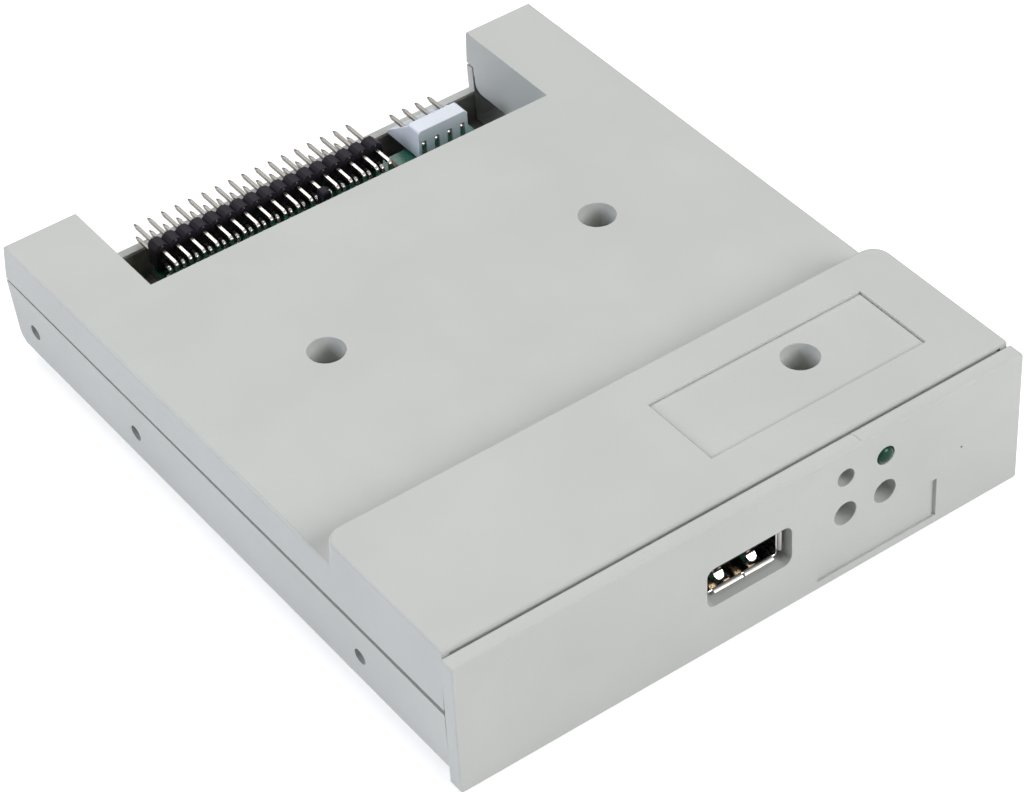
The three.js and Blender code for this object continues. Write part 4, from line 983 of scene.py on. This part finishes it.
@dataclass
class Socket:
    """The USB socket: folded shell, floor springs, insulator and contacts."""

    half_width: float = 6.55
    low_z: float = 9.3
    high_z: float = 15.0
    lip_y: float = -58.8
    mouth_y: float = -58.3
    back_y: float = -44.8
    sheet: float = 0.3
    corner: float = 0.6
    lip_half: float = 5.45
    lip_shift: float = 0.15
    side_lip_half: float = 1.85
    seam: float = 0.12
    flare: float = 0.3
    spring_x: float = 2.95
    spring_half: float = 0.8
    spring_tip_y: float = -57.45
    spring_root_y: float = -51.5
    spring_overlap: float = 0.3
    spring_drop: float = 0.2
    spring_sheet: float = 0.22
    spring_rises: tuple[tuple[float, float], ...] = (
        (0.35, 0.3), (0.7, 0.6), (1.0, 0.84), (1.25, 0.95), (1.6, 0.98), (2.2, 0.88), (3.0, 0.66),
        (4.0, 0.38), (5.0, 0.14))
    window_gap: float = 0.25
    window_tip_gap: float = 0.35
    tail_gap_low: tuple[float, float] = (-5.55, -47.8)
    tail_gap_rise: float = 0.45
    overrun: float = 1.0
    curl_shares: tuple[float, float] = (0.35, 0.65)
    contact_places: tuple[float, ...] = (-3.5, -1.0, 1.0, 3.5)
    contact_low: Point = (-0.5, -56.6, 12.01)
    contact_high: Point = (0.5, -46.3, 12.26)
    contact_tip_lift: float = 0.3
    contact_tip_reach: float = 0.2
    contact_bow: tuple[tuple[float, float], ...] = (
        (0.5, 0.25), (1.0, 0.5), (1.5, 0.62), (2.0, 0.55), (2.5, 0.35), (3.1, 0.15), (3.8, 0.0))
    contact_tail_z: float = 6.45
    contact_tail_share: float = 0.6
    shell_edge: float = 0.04
    lip_edge: float = 0.06
    spring_edge: float = 0.05
    spring_tip_share: float = 0.85
    contact_edge: float = 0.04
    tongue_edge: float = 0.12

    def build(self) -> None:
        """Models the shell with its lips and springs, then the insulator and contacts."""
        fit(self.shell(), SOCKET_STEEL, "socket_steel", "usb_shell")
        fit(fuse("usb_shell_lips", self.lips()), LIP_STEEL, "socket_steel")
        fit(softened_copy("usb_insulator", "usb_tongue", self.tongue_edge), SOCKET_BLACK, "socket_plastic",
            "usb_insulator")
        for index, x in enumerate(self.contact_places):
            node = f"usb_contact_{index + 1}"
            fit(self.contact(f"{node}_spring", x), CONTACT_GOLD, "contact_gold", node)

    def shell(self) -> bpy.types.Object:
        """Folds the tube, cuts the spring windows and adds the springs."""
        tube = block("usb_shell_folded", (-self.half_width, self.mouth_y, self.low_z),
                     (self.half_width, self.back_y, self.high_z))
        round_corners(tube, lambda middle, way: abs(way.y) > FACING, self.corner)
        select_faces(tube, lambda centre, normal: abs(normal.y) > FACING)
        bpy.ops.mesh.delete(type="FACE")
        leave_edit()
        wall = tube.modifiers.new("wall", "SOLIDIFY")
        wall.thickness = self.sheet * MM
        wall.offset = -1.0
        bpy.ops.object.modifier_apply(modifier=wall.name)
        gap = self.spring_half + self.window_gap
        under, over = self.low_z - self.overrun, self.low_z + self.overrun
        start = self.spring_tip_y - self.window_tip_gap
        windows = [block("window", (x - gap, start, under), (x + gap, self.spring_root_y, over))
                   for x in (-self.spring_x, self.spring_x)]
        left, front = self.tail_gap_low
        tail = block("tail_gap", (left, front, under),
                     (-left, self.back_y + self.overrun, self.low_z + self.tail_gap_rise))
        carve(tube, [*windows, tail])
        round_edges(tube, self.shell_edge, segments=1)
        return fuse("usb_shell_folded", [tube, *self.springs()])

    def lips(self) -> list[bpy.types.Object]:
        """Makes the mouth's lips: two below a seam, one above, one at each side."""
        spans = (((-self.lip_half, -self.seam), -1), ((self.seam, self.lip_half), -1),
                 ((-self.lip_half, self.lip_half), 1))
        made = []
        root_y = self.mouth_y + self.sheet
        for (left, right), way in spans:
            z = self.low_z if way < 0 else self.high_z - self.sheet
            lip = block("lip", (left + self.lip_shift, self.lip_y, z),
                        (right + self.lip_shift, root_y, z + self.sheet))
            self.turn_out(lip, (0, 0, way * self.flare))
            made.append(lip)
        middle = (self.low_z + self.high_z) / 2
        for way in (-1, 1):
            x = self.half_width + self.lip_shift if way > 0 else -self.half_width + self.sheet
            lip = block("lip", (x - self.sheet, self.lip_y, middle - self.side_lip_half),
                        (x, root_y, middle + self.side_lip_half))
            self.turn_out(lip, (way * self.flare, 0, 0))
            made.append(lip)
        return made

    def turn_out(self, lip: bpy.types.Object, way: Point) -> None:
        """Curls the front of one lip outwards in two steps and rounds its edges."""
        middle_y = (self.lip_y + self.mouth_y) / 2
        cut_across(lip, (middle_y, self.mouth_y), 1)
        for place, share in zip((middle_y, self.lip_y), self.curl_shares):
            shift_points(lip, lambda point, at=place: point.y < at + NEAR, tuple(c * share for c in way))
        round_edges(lip, self.lip_edge, limit=30.0, smooth=60.0)

    def springs(self) -> list[bpy.types.Object]:
        """Makes the two arched springs in the floor, with steep round tips."""
        z = self.low_z + self.spring_drop
        tip, root = self.spring_tip_y, self.spring_root_y
        made = []
        for side in (-1, 1):
            x = side * self.spring_x
            spring = block("spring", (x - self.spring_half, tip, z),
                           (x + self.spring_half, root + self.spring_overlap, z + self.spring_sheet))
            round_corners(spring, lambda middle, way: abs(way.z) > FACING and middle.y < tip + NEAR,
                          self.spring_half * self.spring_tip_share, 6)
            shift_points(spring, lambda point: point.y > root, (0, 0, -self.spring_drop))
            cut_across(spring, [tip + along for along, _ in self.spring_rises], 1)
            for place in sorted({round(point.co.y / MM, 4) for point in spring.data.vertices}):
                lift = self.rise_at(place - tip)
                shift_points(spring, lambda point, at=place: abs(point.y - at) < SAME, (0, 0, lift))
            round_edges(spring, self.spring_edge, limit=50.0, smooth=70.0)
            made.append(spring)
        return made

    def rise_at(self, along: float) -> float:
        """Reads a spring's rise at a distance from its tip, in millimetres."""
        end = self.spring_root_y + self.spring_overlap - self.spring_tip_y
        stops = ((0.0, 0.0), *self.spring_rises, (end, 0.0))
        for (start, low), (stop, high) in zip(stops, stops[1:]):
            if along <= stop:
                return low + (high - low) * max(along - start, 0.0) / (stop - start)
        return 0.0

    def contact(self, name: str, x: float) -> bpy.types.Object:
        """Makes one contact: a tail, a run under the tongue and a bow that dips towards the floor."""
        left, tip, low = self.contact_low
        right, back, high = self.contact_high
        sheet = high - low
        spring = block(name, (x + left, tip, low), (x + right, back, high))
        cut_across(spring, [tip + along for along, _ in self.contact_bow], 1)
        lifted = tip + self.contact_tip_reach
        shift_points(spring, lambda point: point.y < lifted, (0, 0, self.contact_tip_lift))
        for along, drop in self.contact_bow:
            shift_points(spring, lambda point, at=tip + along: abs(point.y - at) < NEAR, (0, 0, -drop))
        extrude_faces(spring, facing("y"), (0, sheet, 0))
        extrude_faces(spring, lambda centre, normal: normal.z < -FACING and centre.y > back - NEAR,
                      (0, 0, self.contact_tail_z - low), (self.contact_tail_share, 1.0, 1.0))
        round_edges(spring, self.contact_edge, segments=1, smooth=60.0)
        return spring


@dataclass
class Controls:
    """The lamp and the two push switches."""

    sides: tuple[str, str] = ("left", "right")
    lamp_x: float = 24.9
    lamp_z: float = 19.15
    lamp_radius: float = 1.5
    lamp_bulge: float = 0.95
    lamp_tip_y: float = -60.8
    lamp_length: float = 4.6
    flange_radius: float = 1.9
    flange_length: float = 1.0
    lead: float = 0.5
    lead_pitch: float = 2.54
    lead_bend_y: float = -48.1
    lead_bend: float = 0.7
    lead_root: float = 0.4
    lead_tail_z: float = 6.4
    flange_step: float = 0.02
    lens_edge: float = 0.08
    lead_edge: float = 0.05
    box_edge: float = 0.1
    button_edge: float = 0.15

    def build(self) -> None:
        """Models the lamp and rounds the switches."""
        self.lamp()
        for side in self.sides:
            fit(softened_copy(f"{side}_switch_body", f"{side}_switch_box", self.box_edge), BOX_BLACK,
                "switch_plastic", f"{side}_switch_body")
            fit(softened_copy(f"{side}_switch_plunger", f"{side}_switch_button", self.button_edge, 3),
                BOX_BLACK, "button_plastic", f"{side}_switch_plunger", body=f"{side}_button")

    def lamp(self) -> None:
        """Turns the domed lens with its flange, and bends its two leads."""
        dome_y = self.lamp_tip_y + self.lamp_bulge
        end = dome_y + self.lamp_length - self.lamp_bulge
        grow = self.flange_radius / self.lamp_radius
        clear_selection()
        bpy.ops.mesh.primitive_uv_sphere_add(
            segments=40, ring_count=20, radius=self.lamp_radius * MM, rotation=(math.pi / 2, 0, 0),
            location=(self.lamp_x * MM, dome_y * MM, self.lamp_z * MM))
        bpy.context.object.scale.z = self.lamp_bulge / self.lamp_radius
        lens = named("status_led_lens")
        take(lens)
        bpy.ops.object.mode_set(mode="EDIT")
        bpy.ops.mesh.select_all(action="SELECT")
        bpy.ops.mesh.bisect(plane_co=(0, dome_y * MM, 0), plane_no=(0, 1, 0), use_fill=True, clear_outer=True)
        leave_edit()
        steps = ((dome_y - NEAR, end - dome_y, 1.0), (end - NEAR, self.flange_step, grow),
                 (end, self.flange_length, 1.0))
        for beyond, length, share in steps:
            extrude_faces(lens, lambda centre, normal, past=beyond: normal.y > FACING and centre.y > past,
                          (0, length, 0), (share, 1.0, share))
        round_edges(lens, self.lens_edge, smooth=50.0)
        fit(lens, LENS, "green_lens", "status_led")
        for side, name in zip((-1, 1), self.sides):
            self.lamp_lead(f"status_led_lead_{name}", side, end + self.flange_length)

    def lamp_lead(self, name: str, side: int, flange_y: float) -> None:
        """Bends one lead of the lamp down to the board."""
        x, z = self.lamp_x + side * self.lead_pitch / 2, self.lamp_z
        half = self.lead / 2
        lead = block(name, (x - half, flange_y - self.lead_root, z - half),
                     (x + half, self.lead_bend_y, z + half))
        knee_z = z - self.lead_bend
        spin_faces(lead, facing("y"), (x, self.lead_bend_y, knee_z), (1, 0, 0), 90)
        inner_y = self.lead_bend_y + self.lead_bend - half - NEAR
        extrude_faces(lead, lambda centre, normal: normal.z < -FACING and centre.y > inner_y,
                      (0, 0, self.lead_tail_z - knee_z))
        round_edges(lead, self.lead_edge, segments=1)
        fit(lead, PIN_TIN, "pin_metal")


class LampSide(Enum):
    """Where a studio lamp stands, as azimuth and elevation in degrees."""

    FRONT = (25.0, 32.0)
    BACK = (165.0, 55.0)
    LEFT = (-97.0, 28.0)


@dataclass(frozen=True)
class SoftLamp:
    """A soft square lamp: its side, its size in metres, its power in watts and its colour."""

    side: LampSide
    size: float
    power: float
    colour: Colour

    def build(self, distance: float) -> None:
        """Adds the lamp at a distance in metres, aimed at the part."""
        azimuth, elevation = (math.radians(v) for v in self.side.value)
        away = Vector((math.sin(azimuth) * math.cos(elevation), -math.cos(azimuth) * math.cos(elevation),
                       math.sin(elevation)))
        data = bpy.data.lights.new(f"lamp_{self.side.name.lower()}", "AREA")
        data.size = self.size
        data.energy = self.power
        data.color = self.colour
        lamp = bpy.data.objects.new(data.name, data)
        turn = away.to_track_quat("Z", "Y").to_matrix().to_4x4()
        lamp.matrix_world = Matrix.Translation(away * distance) @ turn
        bpy.context.scene.collection.objects.link(lamp)


def seen_background(tree: bpy.types.NodeTree) -> bpy.types.NodeSocket:
    """Adds nodes that give 1 to rays that should see the white background, and 0 to the rest."""
    rays = tree.nodes.new("ShaderNodeLightPath").outputs
    seen = rays["Is Camera Ray"]
    for kind in ("Is Glossy Ray", "Is Transmission Ray"):
        larger = tree.nodes.new("ShaderNodeMath")
        larger.operation = "MAXIMUM"
        tree.links.new(seen, larger.inputs[0])
        tree.links.new(rays[kind], larger.inputs[1])
        seen = larger.outputs["Value"]
    return seen


@dataclass
class Studio:
    """Plain pale floor, soft lamps and an even world."""

    lamps: tuple[SoftLamp, ...] = (
        SoftLamp(LampSide.FRONT, 0.6, 8.4, (0.985, 0.985, 1.0)),
        SoftLamp(LampSide.BACK, 0.8, 5.8, (1.0, 1.0, 0.965)),
        SoftLamp(LampSide.LEFT, 0.6, 6.85, (0.875, 0.905, 1.0)),
    )
    floor_size: float = 6.0
    floor_level: float = -0.0002
    lamp_distance: float = 1.1
    world_light: float = 0.01
    world_tint: Colour = (0.97, 0.99, 1.0)
    floor_glow: float = 0.6

    def build(self) -> None:
        """Builds floor, world and lamps."""
        self.floor()
        self.world()
        for lamp in self.lamps:
            lamp.build(self.lamp_distance)

    def floor(self) -> None:
        """Adds the floor, which shows white to the camera but keeps the shadow."""
        clear_selection()
        bpy.ops.mesh.primitive_plane_add(size=self.floor_size, location=(0, 0, self.floor_level))
        floor = named("floor")
        bench = Bench("floor_paper")
        tint = bench.noise(0.02, 2.0)
        colour = bench.blend(tint, (0.8, 0.8, 0.8), (0.82, 0.82, 0.82))
        bench.link(colour, bench.shader.inputs["Base Color"])
        bench.plain(Roughness=0.9, Specular_IOR_Level=0.1)
        glow = bench.math("MULTIPLY", seen_background(bench.tree), self.floor_glow)
        bench.plain(Emission_Color=(1.0, 1.0, 1.0))
        bench.link(glow, bench.shader.inputs["Emission Strength"])
        floor.data.materials.append(bench.material)

    def world(self) -> None:
        """Lights the scene evenly, and shows white to the camera."""
        world = bpy.data.worlds.new("studio")
        bpy.context.scene.world = world
        world.use_nodes = True
        tree = world.node_tree
        tree.nodes.clear()
        output = tree.nodes.new("ShaderNodeOutputWorld")
        mix = tree.nodes.new("ShaderNodeMixShader")
        even, white = (tree.nodes.new("ShaderNodeBackground") for _ in range(2))
        even.inputs["Color"].default_value = (*self.world_tint, 1.0)
        even.inputs["Strength"].default_value = self.world_light
        for source, target in ((seen_background(tree), mix.inputs["Fac"]),
                               (even.outputs["Background"], mix.inputs[1]),
                               (white.outputs["Background"], mix.inputs[2]),
                               (mix.outputs["Shader"], output.inputs["Surface"])):
            tree.links.new(source, target)


@dataclass
class PhotoCamera:
    """The photograph's camera, fitted to the case's corners."""

    azimuth: float = -33.7387
    elevation: float = 41.5460
    roll: float = -3.6013
    distance: float = 523.799
    target: Point = (-5.053, -10.286, 12.7)
    focal_px: float = 3518.01

    def build(self) -> None:
        """Adds the camera and makes it the scene's."""
        turn, lift, roll = (math.radians(v) for v in (self.azimuth, self.elevation, self.roll))
        back = Vector((math.sin(turn) * math.cos(lift), -math.cos(turn) * math.cos(lift), math.sin(lift)))
        right = Vector((math.cos(turn), math.sin(turn), 0.0))
        up = back.cross(right)
        right, up = (right * math.cos(roll) + up * math.sin(roll),
                     up * math.cos(roll) - right * math.sin(roll))
        data = bpy.data.cameras.new("photo_camera")
        data.sensor_fit = "HORIZONTAL"
        data.sensor_width = SENSOR_MM
        data.lens = SENSOR_MM * self.focal_px / PHOTO_WIDTH_PX
        camera = bpy.data.objects.new("photo_camera", data)
        turned = Matrix((right, up, back)).transposed().to_4x4()
        place = (Vector(self.target) + back * self.distance) * MM
        camera.matrix_world = Matrix.Translation(place) @ turned
        bpy.context.scene.collection.objects.link(camera)
        bpy.context.scene.camera = camera


def main() -> None:
    """Builds the scene in order."""
    logging.basicConfig(level=logging.INFO, format="%(name)s %(message)s")
    bpy.context.scene.view_settings.view_transform = "Standard"
    PhotoCamera().build()
    for assembly in (Case(), Board(), Header(), PowerInlet(), Socket(), Controls()):
        assembly.build()
        log.info("%s done", type(assembly).__name__)
    Studio().build()
    clear_selection()


if __name__ == "__main__":
    main()
